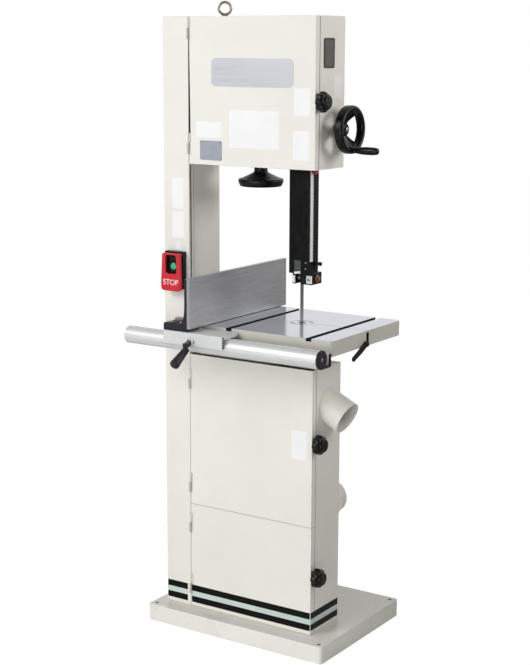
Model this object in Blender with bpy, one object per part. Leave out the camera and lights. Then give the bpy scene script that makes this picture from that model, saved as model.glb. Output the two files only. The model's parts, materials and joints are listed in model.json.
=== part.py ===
"""Floor-standing 14-inch steel-frame band saw, in metres, +Z up.

The origin is the centre of the base's underside.  The door side faces -Y, and the column is at -X.
Each physical piece is one object.  A moving piece has its origin on its joint's axis.
"""
import math

import bmesh
import bpy

# ---------------------------------------------------------------- driving dimensions
GAP = 0.0003                     # clearance between pieces that touch or seat
RUNNING = 0.0006                 # clearance of a shaft in its hole
OVERLAP = 0.001                  # how far a cutter or a welded boss reaches past a face
SHEET = 0.003                    # sheet steel of the column, head and cabinet
DOOR_SHEET = 0.002
SEAM = 0.0012                    # visible joint line round each door

BASE_WIDTH = 0.645
BASE_DEPTH = 0.478
BASE_HEIGHT = 0.054
BASE_CORNER = 0.010
ANCHOR_RADIUS = 0.006
ANCHOR_INSET = 0.020
COLUMN_FROM_BASE = 0.0305        # column's left face inside the base's left edge
FRONT_FROM_BASE = 0.061          # door faces behind the base's front edge

WHEEL_RADIUS = 0.178             # to the tyre's running surface
WHEEL_WIDTH = 0.025
WHEEL_SIDES = 64                 # facets round the wheels, tyres and blade
TIRE_THICKNESS = 0.003
BLADE_WIDTH = 0.019
BLADE_THICKNESS = 0.0008
BLADE_RETURN_INSET = 0.0125      # upward run of the blade, inside the column's right face
BLADE_SETBACK = 0.095            # blade behind the door faces

COLUMN_WIDTH = 0.0945
BODY_DEPTH = 0.162
DOOR_DEPTH = 0.022               # depth of a door's folded edge
HEAD_OVERHANG = 0.0986           # head and cabinet to the right of the blade
MOTOR_BAY_HEIGHT = 0.338
BELOW_LOWER_WHEEL = 0.090
ABOVE_LOWER_WHEEL = 0.034
TABLE_ABOVE_CABINET = 0.120
HEAD_ABOVE_TABLE = 0.463
BELOW_UPPER_WHEEL = 0.027
ABOVE_UPPER_WHEEL = 0.050

TABLE_DEPTH = 0.404
TABLE_RIGHT_REACH = 0.2266       # from the blade to the table's right edge
TABLE_TO_COLUMN = 0.0215
TABLE_PLATE = 0.012
SKIRT_HEIGHT = 0.045
SKIRT_THICKNESS = 0.012
TABLE_CORNER = 0.012
MITER_WIDTH = 0.019
MITER_DEPTH = 0.008
MITER_LEFT = 0.125               # left slot's centre from the blade
MITER_RIGHT = 0.149
INSERT_RADIUS = 0.035
INSERT_THICKNESS = 0.003
BLADE_ENTRY = 0.0025             # slot in the table that lets the blade in
SKIRT_ENTRY = 0.014

TRUNNION_RADIUS = 0.110
TRUNNION_LUG = 0.014
TRUNNION_SPREAD = 0.045          # each lug's centre from the blade, front and rear
TRUNNION_DROP = 0.0203           # trunnion plate's underside below the table top
CRADLE_BASE = 0.005
CRADLE_HEIGHT = 0.031

LEVER_STUD = 0.004
LEVER_HUB = 0.0078
LEVER_BELOW_TOP = 0.037          # lock lever's stud below the table top
LEVER_BEFORE_SLOT = 0.017        # and in front of the slot in the right skirt
LEVER_BOSS = 0.0075
LEVER_BOSS_LENGTH = 0.010

POST_WIDTH = 0.024
POST_LENGTH = 0.544
POST_FROM_BLADE = 0.0174
GUIDES_ABOVE_TABLE = 0.154       # bottom of the post and its guard above the table
RACK_TOOTH = 0.0015
PINION_RADIUS = 0.012
PINION_TEETH = 8
PINION_SHAFT = 0.005
PINION_BELOW_TOP = 0.320
GUARD_WIDTH = 0.069
GUARD_LENGTH = 0.420
GUARD_SHEET = 0.002
GUIDE_RADIUS = 0.008
BLOCK_SLOT = 0.0085              # half width of the blade's slot in the guide block
BACKUP_RADIUS = 0.0068
BACKUP_AXLE = 0.0022

HANDWHEEL_RADIUS = 0.0695
HANDWHEEL_STANDOFF = 0.047
GRIP_LENGTH = 0.080
GRIP_RADIUS = 0.0115

TENSION_WHEEL_RADIUS = 0.069
TENSION_WHEEL_DROP = 0.069       # bottom of the tension handwheel below the head
TENSION_SCREW_RADIUS = 0.008
TENSION_SCREW_SETBACK = 0.020    # screw in front of the head's rear face
TENSION_TRAVEL = 0.012
AXLE_RADIUS = 0.0125
SLIDE_HALF = 0.030               # half width of the sliding block
SLIDE_HEIGHT = 0.090
CHANNEL_LIP = 0.010
NUT_DEPTH = 0.046                # depth of the screw's hole in the sliding block

KNOB_RADIUS = 0.030
KNOB_LENGTH = 0.034
KNOB_STANDOFF = 0.006
STUD_RADIUS = 0.004
DOOR_SWING_ROOM = 0.0014         # a door's folded edge swings out this far at most as it opens

HINGE_RADIUS = 0.004
HINGE_PIN_RADIUS = 0.0022
HINGE_LENGTH = 0.064

MOTOR_RADIUS = 0.080
MOTOR_LENGTH = 0.225
MOTOR_X_FROM_WHEEL = -0.069
MOTOR_HEIGHT = 0.270
MOTOR_PULLEY_RADIUS = 0.035
WHEEL_PULLEY_RADIUS = 0.075
BELT_THICKNESS = 0.008
BELT_WIDTH = 0.012
SHAFT_RADIUS = 0.0125

RAIL_LENGTH = 0.674
RAIL_RADIUS = 0.026
RAIL_WALL = 0.004
RAIL_FROM_TABLE = 0.050          # centre of the rail's round part in front of the table
RAIL_DROP = 0.045                # centre of the rail's round part below the table top
RAIL_PAST_RIGHT = -0.008         # rail's right end past the table's right edge
RAIL_HOOK_RISE = 0.038
CAP_THICKNESS = 0.006

FENCE_LENGTH = 0.520
FENCE_HEIGHT = 0.1495
FENCE_THICKNESS = 0.010
FENCE_LIFT = 0.0015
FENCE_FROM_BLADE = 0.2044        # right face of the fence to the blade
FENCE_PAST_FRONT = 0.085
CARRIAGE_LEFT = 0.095            # carriage's reach from the fence face
CARRIAGE_RIGHT = 0.115
CARRIAGE_WALL = 0.010
CARRIAGE_FRONT_HEIGHT = 0.038

PORT_RADIUS = 0.0505
PORT_WALL = 0.002
PORT_FLANGE = 0.0015
SIDE_PORT_HEIGHT = 0.752
SIDE_PORT_ANGLE = math.radians(26.0)
SIDE_PORT_LENGTH = 0.073
REAR_PORT_HEIGHT = 0.432
REAR_PORT_FROM_RIGHT = 0.051
REAR_PORT_LENGTH = 0.048

SIDE_WINDOW_WIDTH = 0.057
SIDE_WINDOW_HEIGHT = 0.084
EYE_THREAD = 0.0055
EYE_RADIUS = 0.018
EYE_WIRE = 0.004
HOUSING_RADIUS = 0.030           # bearing housing where it passes the cabinet's rear wall

SWITCH_WIDTH = 0.068
SWITCH_HEIGHT = 0.115
SWITCH_DEPTH = 0.018
SWITCH_BODY_DEPTH = 0.045
SWITCH_BOTTOM = 1.073
PADDLE_WIDTH = 0.075
PADDLE_HEIGHT = 0.116
PADDLE_THICKNESS = 0.010
PADDLE_GAP = 0.007
PADDLE_LUG = PADDLE_GAP / 2 / 1.5   # half size of the hinge lugs, short of the faces that pass them
BUTTON_RADIUS = 0.012

# ---------------------------------------------------------------- derived places
COLUMN_LEFT = -BASE_WIDTH / 2 + COLUMN_FROM_BASE
COLUMN_RIGHT = COLUMN_LEFT + COLUMN_WIDTH
FRONT_Y = -BASE_DEPTH / 2 + FRONT_FROM_BASE
BACK_Y = FRONT_Y + BODY_DEPTH
SHELL_FRONT = FRONT_Y + DOOR_DEPTH + GAP
BLADE_RUN = WHEEL_RADIUS + GAP + BLADE_THICKNESS / 2
WHEEL_X = COLUMN_RIGHT - BLADE_RETURN_INSET + BLADE_RUN
BLADE_X = WHEEL_X + BLADE_RUN
BLADE_Y = FRONT_Y + BLADE_SETBACK
BODY_RIGHT = BLADE_X + HEAD_OVERHANG

BODY_BOTTOM = BASE_HEIGHT + GAP
DOOR_SPLIT = BASE_HEIGHT + MOTOR_BAY_HEIGHT
LOWER_WHEEL_Z = DOOR_SPLIT + BELOW_LOWER_WHEEL + WHEEL_RADIUS
CABINET_TOP = LOWER_WHEEL_Z + WHEEL_RADIUS + ABOVE_LOWER_WHEEL
TABLE_TOP = CABINET_TOP + TABLE_ABOVE_CABINET
HEAD_BOTTOM = TABLE_TOP + HEAD_ABOVE_TABLE
UPPER_WHEEL_Z = HEAD_BOTTOM + BELOW_UPPER_WHEEL + WHEEL_RADIUS
BODY_TOP = UPPER_WHEEL_Z + WHEEL_RADIUS + ABOVE_UPPER_WHEEL
DIVIDER_TOP = DOOR_SPLIT - 0.017

TABLE_LEFT = COLUMN_RIGHT + TABLE_TO_COLUMN
TABLE_RIGHT = BLADE_X + TABLE_RIGHT_REACH
TABLE_FRONT = BLADE_Y - TABLE_DEPTH / 2
TABLE_BACK = BLADE_Y + TABLE_DEPTH / 2

HINGE_X = COLUMN_RIGHT + SEAM / 2
HINGE_Y = FRONT_Y - HINGE_RADIUS - GAP
KNOB_Y = FRONT_Y + DOOR_DEPTH / 2

POST_LEFT = BLADE_X + POST_FROM_BLADE
POST_RIGHT = POST_LEFT + POST_WIDTH
POST_FRONT = BLADE_Y - 0.017
POST_BACK = POST_FRONT + POST_WIDTH
POST_BOTTOM = TABLE_TOP + GUIDES_ABOVE_TABLE
POST_TOP = POST_BOTTOM + POST_LENGTH
PINION_Y = POST_BACK + GAP + PINION_RADIUS
PINION_Z = BODY_TOP - PINION_BELOW_TOP
RACK_PITCH = 2 * math.pi * PINION_RADIUS / PINION_TEETH
GUARD_LEFT = BLADE_X - 0.0184
GUARD_RIGHT = GUARD_LEFT + GUARD_WIDTH
GUARD_FRONT = BLADE_Y - 0.045

TENSION_Y = BACK_Y - TENSION_SCREW_SETBACK
MOTOR_X = WHEEL_X + MOTOR_X_FROM_WHEEL
PULLEY_FRONT = BLADE_Y + WHEEL_WIDTH / 2 + 0.006
PULLEY_WIDTH = BELT_WIDTH + 0.005
PULLEY_Y = PULLEY_FRONT + PULLEY_WIDTH / 2

RAIL_Y = TABLE_FRONT - RAIL_FROM_TABLE
RAIL_Z = TABLE_TOP - RAIL_DROP
RAIL_RIGHT = TABLE_RIGHT + RAIL_PAST_RIGHT
FENCE_FACE = BLADE_X - FENCE_FROM_BLADE
FENCE_BOTTOM = TABLE_TOP + FENCE_LIFT
FENCE_TOP = FENCE_BOTTOM + FENCE_HEIGHT
FENCE_FRONT = TABLE_FRONT - FENCE_PAST_FRONT
CARRIAGE_BOTTOM = RAIL_Z + RAIL_RADIUS + GAP
CARRIAGE_TOP = CARRIAGE_BOTTOM + CARRIAGE_WALL
CARRIAGE_FRONT = RAIL_Y - RAIL_RADIUS - GAP - CARRIAGE_WALL

SWITCH_X = COLUMN_LEFT + 0.0492
SWITCH_FACE = FRONT_Y - SWITCH_DEPTH
PADDLE_PIVOT_Z = SWITCH_BOTTOM + SWITCH_HEIGHT - 0.007
PADDLE_PIVOT_Y = SWITCH_FACE - PADDLE_GAP / 2
SMALL_PIN = 0.002

REAR_PORT_X = BODY_RIGHT - REAR_PORT_FROM_RIGHT

SLIDE_FRONT = BLADE_Y + WHEEL_WIDTH / 2 + 0.010
BLOCK_FRONT = BLADE_Y - 0.024
BLOCK_BACK = BLADE_Y + 0.031
BACKUP_FRONT = BLADE_Y + BLADE_WIDTH / 2 + GAP

HEAD_DOOR_HINGES = (BODY_TOP - 0.034, HEAD_BOTTOM + 0.062)
WHEEL_DOOR_HINGES = (CABINET_TOP - 0.077, DOOR_SPLIT + 0.071)
MOTOR_DOOR_HINGES = (DOOR_SPLIT - 0.060, BASE_HEIGHT + 0.076)
HEAD_KNOB_Z = UPPER_WHEEL_Z - 0.0115
WHEEL_KNOB_Z = LOWER_WHEEL_Z - 0.010
MOTOR_KNOB_Z = BASE_HEIGHT + 0.1833


# ---------------------------------------------------------------- materials
def principled(name, colour, roughness, metallic=0.0):
    material = bpy.data.materials.new(name)
    material.use_nodes = True
    shader = material.node_tree.nodes["Principled BSDF"]
    shader.inputs["Base Color"].default_value = (*colour, 1.0)
    shader.inputs["Roughness"].default_value = roughness
    shader.inputs["Metallic"].default_value = metallic
    return material


def make_materials():
    return {
        "paint": principled("ivory_paint", (0.80, 0.77, 0.70), 0.40),
        "iron": principled("ground_cast_iron", (0.42, 0.42, 0.46), 0.35, 0.9),
        "steel": principled("steel", (0.50, 0.50, 0.50), 0.35, 1.0),
        "aluminium": principled("aluminium", (0.70, 0.71, 0.72), 0.30, 1.0),
        "black": principled("black_plastic", (0.02, 0.02, 0.022), 0.45),
        "rubber": principled("rubber", (0.02, 0.02, 0.02), 0.80),
        "red": principled("red_plastic", (0.70, 0.05, 0.06), 0.40),
        "green": principled("green_plastic", (0.05, 0.40, 0.22), 0.40),
        "smoke": principled("smoked_window", (0.10, 0.11, 0.12), 0.10),
    }


# ---------------------------------------------------------------- modelling tools
def rounded(width, height, radius, centre=(0.0, 0.0), steps=4):
    """Outline of a rectangle with round corners, counter-clockwise."""
    points = []
    corners = ((1, 1, 0.0), (-1, 1, 90.0), (-1, -1, 180.0), (1, -1, 270.0))
    for side_x, side_y, start in corners:
        corner_x = centre[0] + side_x * (width / 2 - radius)
        corner_y = centre[1] + side_y * (height / 2 - radius)
        points += arc((corner_x, corner_y), radius, start, start + 90.0, steps)
    return points


def arc(centre, radius, start, end, steps):
    """Points along a circular arc, angles in degrees."""
    angles = [math.radians(start + (end - start) * step / steps) for step in range(steps + 1)]
    return [(centre[0] + radius * math.cos(a), centre[1] + radius * math.sin(a)) for a in angles]


def to_world(axis, across, along):
    """World point from two coordinates across an axis and one along it."""
    first, second = across
    return {"X": (along, first, second), "Y": (first, along, second), "Z": (first, second, along)}[axis]


def close(shape):
    bmesh.ops.recalc_face_normals(shape, faces=shape.faces)
    return shape


def prism(outline, axis, start, end):
    """Solid with a flat outline across the axis, from start to end along it."""
    shape = bmesh.new()
    near = [shape.verts.new(to_world(axis, point, start)) for point in outline]
    far = [shape.verts.new(to_world(axis, point, end)) for point in outline]
    shape.faces.new(near)
    shape.faces.new(list(reversed(far)))
    for index in range(len(outline)):
        after = (index + 1) % len(outline)
        shape.faces.new((near[index], far[index], far[after], near[after]))
    return close(shape)


def box(low, high):
    outline = [(low[0], low[1]), (high[0], low[1]), (high[0], high[1]), (low[0], high[1])]
    return prism(outline, "Z", low[2], high[2])


def turned(profile, axis, centre, sides=32, closed=False):
    """Solid of revolution.  Profile points are (radius, place along the axis)."""
    shape = bmesh.new()
    rings = []
    for radius, along in profile:
        if radius < 1e-6:
            rings.append([shape.verts.new(to_world(axis, centre, along))])
            continue
        ring = arc(centre, radius, 0.0, 360.0, sides)[:-1]
        rings.append([shape.verts.new(to_world(axis, point, along)) for point in ring])
    pairs = list(zip(rings, rings[1:]))
    if closed:
        pairs.append((rings[-1], rings[0]))
    for first, second in pairs:
        if len(first) == len(second) == 1:
            continue
        for index in range(sides):
            after = (index + 1) % sides
            corners = [first[index % len(first)], first[after % len(first)],
                       second[after % len(second)], second[index % len(second)]]
            shape.faces.new(list(dict.fromkeys(corners)))
    return close(shape)


def cylinder(axis, centre, radius, start, end, sides=32):
    return turned([(0, start), (radius, start), (radius, end), (0, end)], axis, centre, sides)


def ring(axis, centre, outer, inner, start, end, sides=32):
    profile = [(outer, start), (outer, end), (inner, end), (inner, start)]
    return turned(profile, axis, centre, sides, closed=True)


def toothed(centre, radius, depth, teeth, steps=4):
    """Outline of a spur gear, with straight-sided teeth."""
    points = []
    for step in range(teeth * steps):
        angle = 2 * math.pi * step / (teeth * steps)
        reach = radius if step % steps < steps / 2 else radius - depth
        points.append((centre[0] + reach * math.cos(angle), centre[1] + reach * math.sin(angle)))
    return points


def lobed(centre, radius, depth, lobes, steps=8):
    """Outline of a knob with rounded lobes."""
    points = []
    for step in range(lobes * steps):
        angle = 2 * math.pi * step / (lobes * steps)
        reach = radius - depth * (1 - math.cos(lobes * angle)) / 2
        points.append((centre[0] + reach * math.cos(angle), centre[1] + reach * math.sin(angle)))
    return points


def belt_outline(first, first_radius, second, second_radius, steps=24):
    """Outline of a loop pulled tight round two circles, the first above the second."""
    across, along = second[0] - first[0], second[1] - first[1]
    heading = math.degrees(math.atan2(along, across))
    lean = math.degrees(math.acos((first_radius - second_radius) / math.hypot(across, along)))
    over_first = arc(first, first_radius, heading + lean, heading + 360.0 - lean, steps)
    over_second = arc(second, second_radius, heading - lean, heading + lean, steps)
    return over_first + over_second


def loop(outer, inner, axis, start, end):
    """Solid band between two outlines with the same number of points."""
    shape = bmesh.new()
    rows = []
    for outline, along in ((outer, start), (outer, end), (inner, end), (inner, start)):
        rows.append([shape.verts.new(to_world(axis, point, along)) for point in outline])
    for row, next_row in zip(rows, rows[1:] + rows[:1]):
        for index in range(len(row)):
            after = (index + 1) % len(row)
            shape.faces.new((row[index], row[after], next_row[after], next_row[index]))
    return close(shape)


def coil(centre, radius, wire, start, end, turns, steps=10, sides=5):
    """Helical wire round a vertical axis."""
    shape = bmesh.new()
    rows = []
    count = turns * steps
    for step in range(count + 1):
        angle = 2 * math.pi * step / steps
        height = start + wire + (end - start - 2 * wire) * step / count
        row = []
        for side in range(sides):
            turn = 2 * math.pi * side / sides
            reach = radius + wire * math.cos(turn)
            point = (centre[0] + reach * math.cos(angle), centre[1] + reach * math.sin(angle))
            row.append(shape.verts.new((*point, height + wire * math.sin(turn))))
        rows.append(row)
    for row, next_row in zip(rows, rows[1:]):
        for side in range(sides):
            after = (side + 1) % sides
            shape.faces.new((row[side], row[after], next_row[after], next_row[side]))
    shape.faces.new(rows[0])
    shape.faces.new(list(reversed(rows[-1])))
    return close(shape)


def add_object(name, shape, material):
    mesh = bpy.data.meshes.new(name)
    shape.to_mesh(mesh)
    shape.free()
    mesh.shade_smooth()
    mesh.set_sharp_from_angle(angle=math.radians(32.0))
    item = bpy.data.objects.new(name, mesh)
    bpy.context.scene.collection.objects.link(item)
    if material:
        mesh.materials.append(material)
    return item


def piece(name, shape, material, pivot=(0.0, 0.0, 0.0)):
    """One physical piece, with its origin at its pivot."""
    bmesh.ops.translate(shape, verts=shape.verts, vec=[-value for value in pivot])
    item = add_object(name, shape, material)
    item.location = pivot
    return item


def combine(host, shape, operation):
    tool = add_object(f"{host.name}_{operation.lower()}_{len(host.modifiers)}", shape, None)
    tool.hide_render = True
    tool.display_type = "WIRE"
    modifier = host.modifiers.new(operation.title(), "BOOLEAN")
    modifier.operation = operation
    modifier.solver = "EXACT"
    modifier.object = tool


def cut(host, shape):
    combine(host, shape, "DIFFERENCE")


def weld(host, shape):
    combine(host, shape, "UNION")


# ---------------------------------------------------------------- frame
def make_base(paint):
    base = piece("base", prism(rounded(BASE_WIDTH, BASE_DEPTH, BASE_CORNER), "Z", 0.0, BASE_HEIGHT), paint)
    hollow = rounded(BASE_WIDTH - 2 * SHEET, BASE_DEPTH - 2 * SHEET, BASE_CORNER - SHEET)
    cut(base, prism(hollow, "Z", SHEET, BASE_HEIGHT - SHEET))
    for side_x in (-1, 1):
        for side_y in (-1, 1):
            hole = (side_x * (BASE_WIDTH / 2 - ANCHOR_INSET), side_y * (BASE_DEPTH / 2 - ANCHOR_INSET))
            cut(base, cylinder("Z", hole, ANCHOR_RADIUS, -OVERLAP, BASE_HEIGHT + OVERLAP, 12))


def make_column(paint):
    column = piece("column", box((COLUMN_LEFT, FRONT_Y, BODY_BOTTOM), (COLUMN_RIGHT, BACK_Y, BODY_TOP)), paint)
    cut(column, box((COLUMN_LEFT + SHEET, FRONT_Y + SHEET, BODY_BOTTOM - OVERLAP),
                    (COLUMN_RIGHT - SHEET, BACK_Y - SHEET, BODY_TOP - SHEET)))
    for low, high in ((HEAD_BOTTOM, BODY_TOP), (BODY_BOTTOM, CABINET_TOP)):
        cut(column, box((COLUMN_RIGHT - SHEET - OVERLAP, SHELL_FRONT + SHEET, low + SHEET),
                        (COLUMN_RIGHT + OVERLAP, BACK_Y - SHEET - OVERLAP, high - SHEET)))
    seam_depth = SHEET / 2
    cut(column, box((COLUMN_RIGHT - seam_depth, FRONT_Y + DOOR_DEPTH, CABINET_TOP),
                    (COLUMN_RIGHT + OVERLAP, FRONT_Y + DOOR_DEPTH + SHEET, HEAD_BOTTOM)))
    half_width = SWITCH_WIDTH / 2 - 0.008
    cut(column, box((SWITCH_X - half_width, FRONT_Y - OVERLAP, SWITCH_BOTTOM + 0.010),
                    (SWITCH_X + half_width, FRONT_Y + SHEET + OVERLAP, SWITCH_BOTTOM + SWITCH_HEIGHT - 0.010)))
    return column


def latch_tab(shell, height):
    """Inner lip behind the door's folded edge, with the hole for the knob's stud."""
    outer = BODY_RIGHT - DOOR_SHEET - 2 * GAP
    half = KNOB_RADIUS
    weld(shell, box((outer - 0.005, FRONT_Y + DOOR_SHEET + 0.003, height - half),
                    (outer, SHELL_FRONT + 0.006, height + half)))
    cut(shell, cylinder("X", (KNOB_Y, height), STUD_RADIUS + RUNNING, outer - 0.008, outer + OVERLAP, 20))


def shell_box(name, bottom, top, paint):
    """Welded housing, open at the front and towards the column."""
    shell = piece(name, box((COLUMN_RIGHT + GAP, SHELL_FRONT, bottom), (BODY_RIGHT, BACK_Y, top)), paint)
    cut(shell, box((COLUMN_RIGHT - OVERLAP, SHELL_FRONT - OVERLAP, bottom + SHEET),
                   (BODY_RIGHT - SHEET, BACK_Y - SHEET, top - SHEET)))
    return shell


def make_upper_housing(paint):
    head = shell_box("upper_housing", HEAD_BOTTOM, BODY_TOP, paint)
    latch_tab(head, HEAD_KNOB_Z)
    below, above = HEAD_BOTTOM - OVERLAP, HEAD_BOTTOM + SHEET + OVERLAP
    cut(head, box((GUARD_LEFT - 0.004, GUARD_FRONT - 0.004, below), (GUARD_RIGHT + 0.004, BLADE_Y + 0.030, above)))
    cut(head, cylinder("Z", (WHEEL_X, TENSION_Y), TENSION_SCREW_RADIUS + RUNNING, below, above, 24))
    cut(head, cylinder("X", (PINION_Y, PINION_Z), PINION_SHAFT + RUNNING, BODY_RIGHT - 0.006, BODY_RIGHT + OVERLAP, 16))
    window = side_window_outline(-0.006)
    cut(head, prism(window, "X", BODY_RIGHT - 0.006, BODY_RIGHT + OVERLAP))
    cut(head, cylinder("Z", eye_bolt_place(), EYE_THREAD + RUNNING, BODY_TOP - 0.006, BODY_TOP + OVERLAP, 16))


def make_lower_cabinet(paint):
    cabinet = shell_box("lower_cabinet", BODY_BOTTOM, CABINET_TOP, paint)
    weld(cabinet, box((COLUMN_RIGHT + GAP, SHELL_FRONT, DIVIDER_TOP - SHEET),
                      (BODY_RIGHT - DOOR_SHEET, BACK_Y - DOOR_SHEET, DIVIDER_TOP)))
    latch_tab(cabinet, WHEEL_KNOB_Z)
    latch_tab(cabinet, MOTOR_KNOB_Z)
    belt_room = 0.016
    outline = belt_outline((WHEEL_X, LOWER_WHEEL_Z), WHEEL_PULLEY_RADIUS + belt_room,
                           (MOTOR_X, MOTOR_HEIGHT), MOTOR_PULLEY_RADIUS + belt_room, 12)
    xs = [point[0] for point in outline]
    cut(cabinet, box((min(xs), PULLEY_FRONT - 0.004, DIVIDER_TOP - SHEET - OVERLAP),
                     (max(xs), PULLEY_FRONT + PULLEY_WIDTH + 0.004, DIVIDER_TOP + OVERLAP)))
    cut(cabinet, box((BLADE_X - 0.010, BLADE_Y - 0.016, CABINET_TOP - SHEET - OVERLAP),
                     (BLADE_X + 0.010, BLADE_Y + 0.016, CABINET_TOP + OVERLAP)))
    rear = (BACK_Y - SHEET - OVERLAP, BACK_Y + OVERLAP)
    cut(cabinet, cylinder("Y", (WHEEL_X, LOWER_WHEEL_Z), HOUSING_RADIUS + GAP, *rear, 32))
    cut(cabinet, cylinder("Y", (MOTOR_X, MOTOR_HEIGHT), MOTOR_PULLEY_RADIUS + 0.012, *rear, 32))
    cut(cabinet, cylinder("Y", (REAR_PORT_X, REAR_PORT_HEIGHT), PORT_RADIUS - PORT_WALL, *rear, 32))
    cut(cabinet, tilted_cylinder(PORT_RADIUS - PORT_WALL, -0.030, 0.030))


def hinge_pins(steel):
    """Fixed halves of the six door hinges: a knuckle on the column's edge with its pin."""
    names = (("head_door", HEAD_DOOR_HINGES), ("wheel_door", WHEEL_DOOR_HINGES), ("motor_door", MOTOR_DOOR_HINGES))
    for door, heights in names:
        for place, height in zip(("top", "bottom"), heights):
            bottom = height - HINGE_LENGTH / 2
            profile = [(0, bottom), (HINGE_RADIUS, bottom), (HINGE_RADIUS, height - GAP),
                       (HINGE_PIN_RADIUS, height - GAP), (HINGE_PIN_RADIUS, height + HINGE_LENGTH / 2 - 0.004),
                       (0, height + HINGE_LENGTH / 2 - 0.004)]
            piece(f"{door}_{place}_hinge_pin", turned(profile, "Z", (HINGE_X, HINGE_Y), 12), steel)


# ---------------------------------------------------------------- doors
def make_door(name, bottom, top, hinges, knob_height, paint):
    """Folded sheet door with its knuckles, on a vertical hinge beside the column."""
    left = COLUMN_RIGHT + SEAM
    low = (left, FRONT_Y, bottom)
    high = (BODY_RIGHT, FRONT_Y + DOOR_DEPTH, top)
    door = piece(name, box(low, high), paint, (HINGE_X, HINGE_Y, (bottom + top) / 2))
    cut(door, box([value + DOOR_SHEET for value in low],
                  (high[0] - DOOR_SHEET, high[1] + OVERLAP, high[2] - DOOR_SHEET)))
    for height in hinges:
        knuckle_bottom = height + GAP
        knuckle_top = height + HINGE_LENGTH / 2
        weld(door, cylinder("Z", (HINGE_X, HINGE_Y), HINGE_RADIUS, knuckle_bottom, knuckle_top, 12))
        weld(door, box((HINGE_X + 0.001, HINGE_Y + 0.001, knuckle_bottom + 0.002),
                       (HINGE_X + 0.007, FRONT_Y + DOOR_SHEET / 2, knuckle_top - 0.002)))
        cut(door, cylinder("Z", (HINGE_X, HINGE_Y), HINGE_PIN_RADIUS + GAP,
                           knuckle_bottom - OVERLAP, knuckle_top - 0.003, 12))
    slot = STUD_RADIUS + 0.001
    cut(door, box((BODY_RIGHT - DOOR_SHEET - OVERLAP, KNOB_Y - slot, knob_height - slot),
                  (BODY_RIGHT + OVERLAP, high[1] + OVERLAP, knob_height + slot)))
    return door


def make_doors(paint, smoke):
    upper = make_door("upper_door", HEAD_BOTTOM, BODY_TOP, HEAD_DOOR_HINGES, HEAD_KNOB_Z, paint)
    outline = rounded(0.080, 0.059, 0.003, (COLUMN_LEFT + 0.1765, HEAD_BOTTOM + 0.043))
    inner = rounded(0.064, 0.043, 0.003, (COLUMN_LEFT + 0.1765, HEAD_BOTTOM + 0.043))
    cut(upper, prism(inner, "Y", FRONT_Y - OVERLAP, FRONT_Y + DOOR_SHEET + OVERLAP))
    piece("door_window", prism(outline, "Y", FRONT_Y - GAP - 0.002, FRONT_Y - GAP), smoke)
    make_door("lower_door", DOOR_SPLIT + SEAM, CABINET_TOP, WHEEL_DOOR_HINGES, WHEEL_KNOB_Z, paint)
    make_door("motor_door", BODY_BOTTOM + SEAM, DOOR_SPLIT, MOTOR_DOOR_HINGES, MOTOR_KNOB_Z, paint)


def make_door_knobs(black):
    """Lobed knobs whose studs pass through the doors' open slots."""
    near = BODY_RIGHT + KNOB_STANDOFF
    for name, height in (("upper_door_knob", HEAD_KNOB_Z), ("lower_door_knob", WHEEL_KNOB_Z),
                         ("motor_door_knob", MOTOR_KNOB_Z)):
        centre = (KNOB_Y, height)
        outline = lobed(centre, KNOB_RADIUS, 0.003, 8, 4)
        knob = piece(name, prism(outline, "X", near, near + KNOB_LENGTH - 0.006), black, (near, *centre))
        hub_start = BODY_RIGHT + DOOR_SWING_ROOM
        hub = [(0, BODY_RIGHT - 0.0075), (STUD_RADIUS, BODY_RIGHT - 0.0075), (STUD_RADIUS, hub_start),
               (0.011, hub_start), (0.011, near + OVERLAP), (0, near + OVERLAP)]
        weld(knob, turned(hub, "X", centre, 14))
        crown = [(0, near + KNOB_LENGTH - 0.010), (0.022, near + KNOB_LENGTH - 0.010), (0.020, near + KNOB_LENGTH),
                 (0, near + KNOB_LENGTH)]
        weld(knob, turned(crown, "X", centre, 20))


# ---------------------------------------------------------------- windows, ports, eye bolt
def side_window_outline(margin):
    centre = (FRONT_Y + 0.0713, BODY_TOP - 0.104)
    return rounded(SIDE_WINDOW_WIDTH + 2 * margin, SIDE_WINDOW_HEIGHT + 2 * margin, 0.004, centre)


def make_side_window(smoke):
    piece("side_window", prism(side_window_outline(0.0), "X", BODY_RIGHT + GAP, BODY_RIGHT + GAP + 0.002), smoke)


def eye_bolt_place():
    return (COLUMN_LEFT + 0.165, FRONT_Y + 0.090)


def make_eye_bolt(steel):
    place = eye_bolt_place()
    collar = [(0, BODY_TOP - 0.016), (EYE_THREAD, BODY_TOP - 0.016), (EYE_THREAD, BODY_TOP + GAP),
              (0.010, BODY_TOP + GAP), (0.009, BODY_TOP + 0.005), (0, BODY_TOP + 0.005)]
    bolt = piece("eye_bolt", turned(collar, "Z", place, 20), steel)
    ring_z = BODY_TOP + 0.004 + EYE_RADIUS + EYE_WIRE * 0.6
    section = arc((EYE_RADIUS, place[1]), EYE_WIRE, 0.0, 360.0, 8)[:-1]
    weld(bolt, turned(section, "Y", (place[0], ring_z), 20, closed=True))


def tilted_cylinder(radius, start, end):
    """Cylinder along the side dust port's axis, measured from where it leaves the cabinet."""
    shape = cylinder("X", (0.0, 0.0), radius, start, end, 32)
    turn = SIDE_PORT_ANGLE
    for vertex in shape.verts:
        along, height = vertex.co.x, vertex.co.z
        vertex.co.x = BODY_RIGHT + along * math.cos(turn) + height * math.sin(turn)
        vertex.co.z = SIDE_PORT_HEIGHT - along * math.sin(turn) + height * math.cos(turn)
        vertex.co.y += FRONT_Y + 0.093
    return shape


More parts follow.
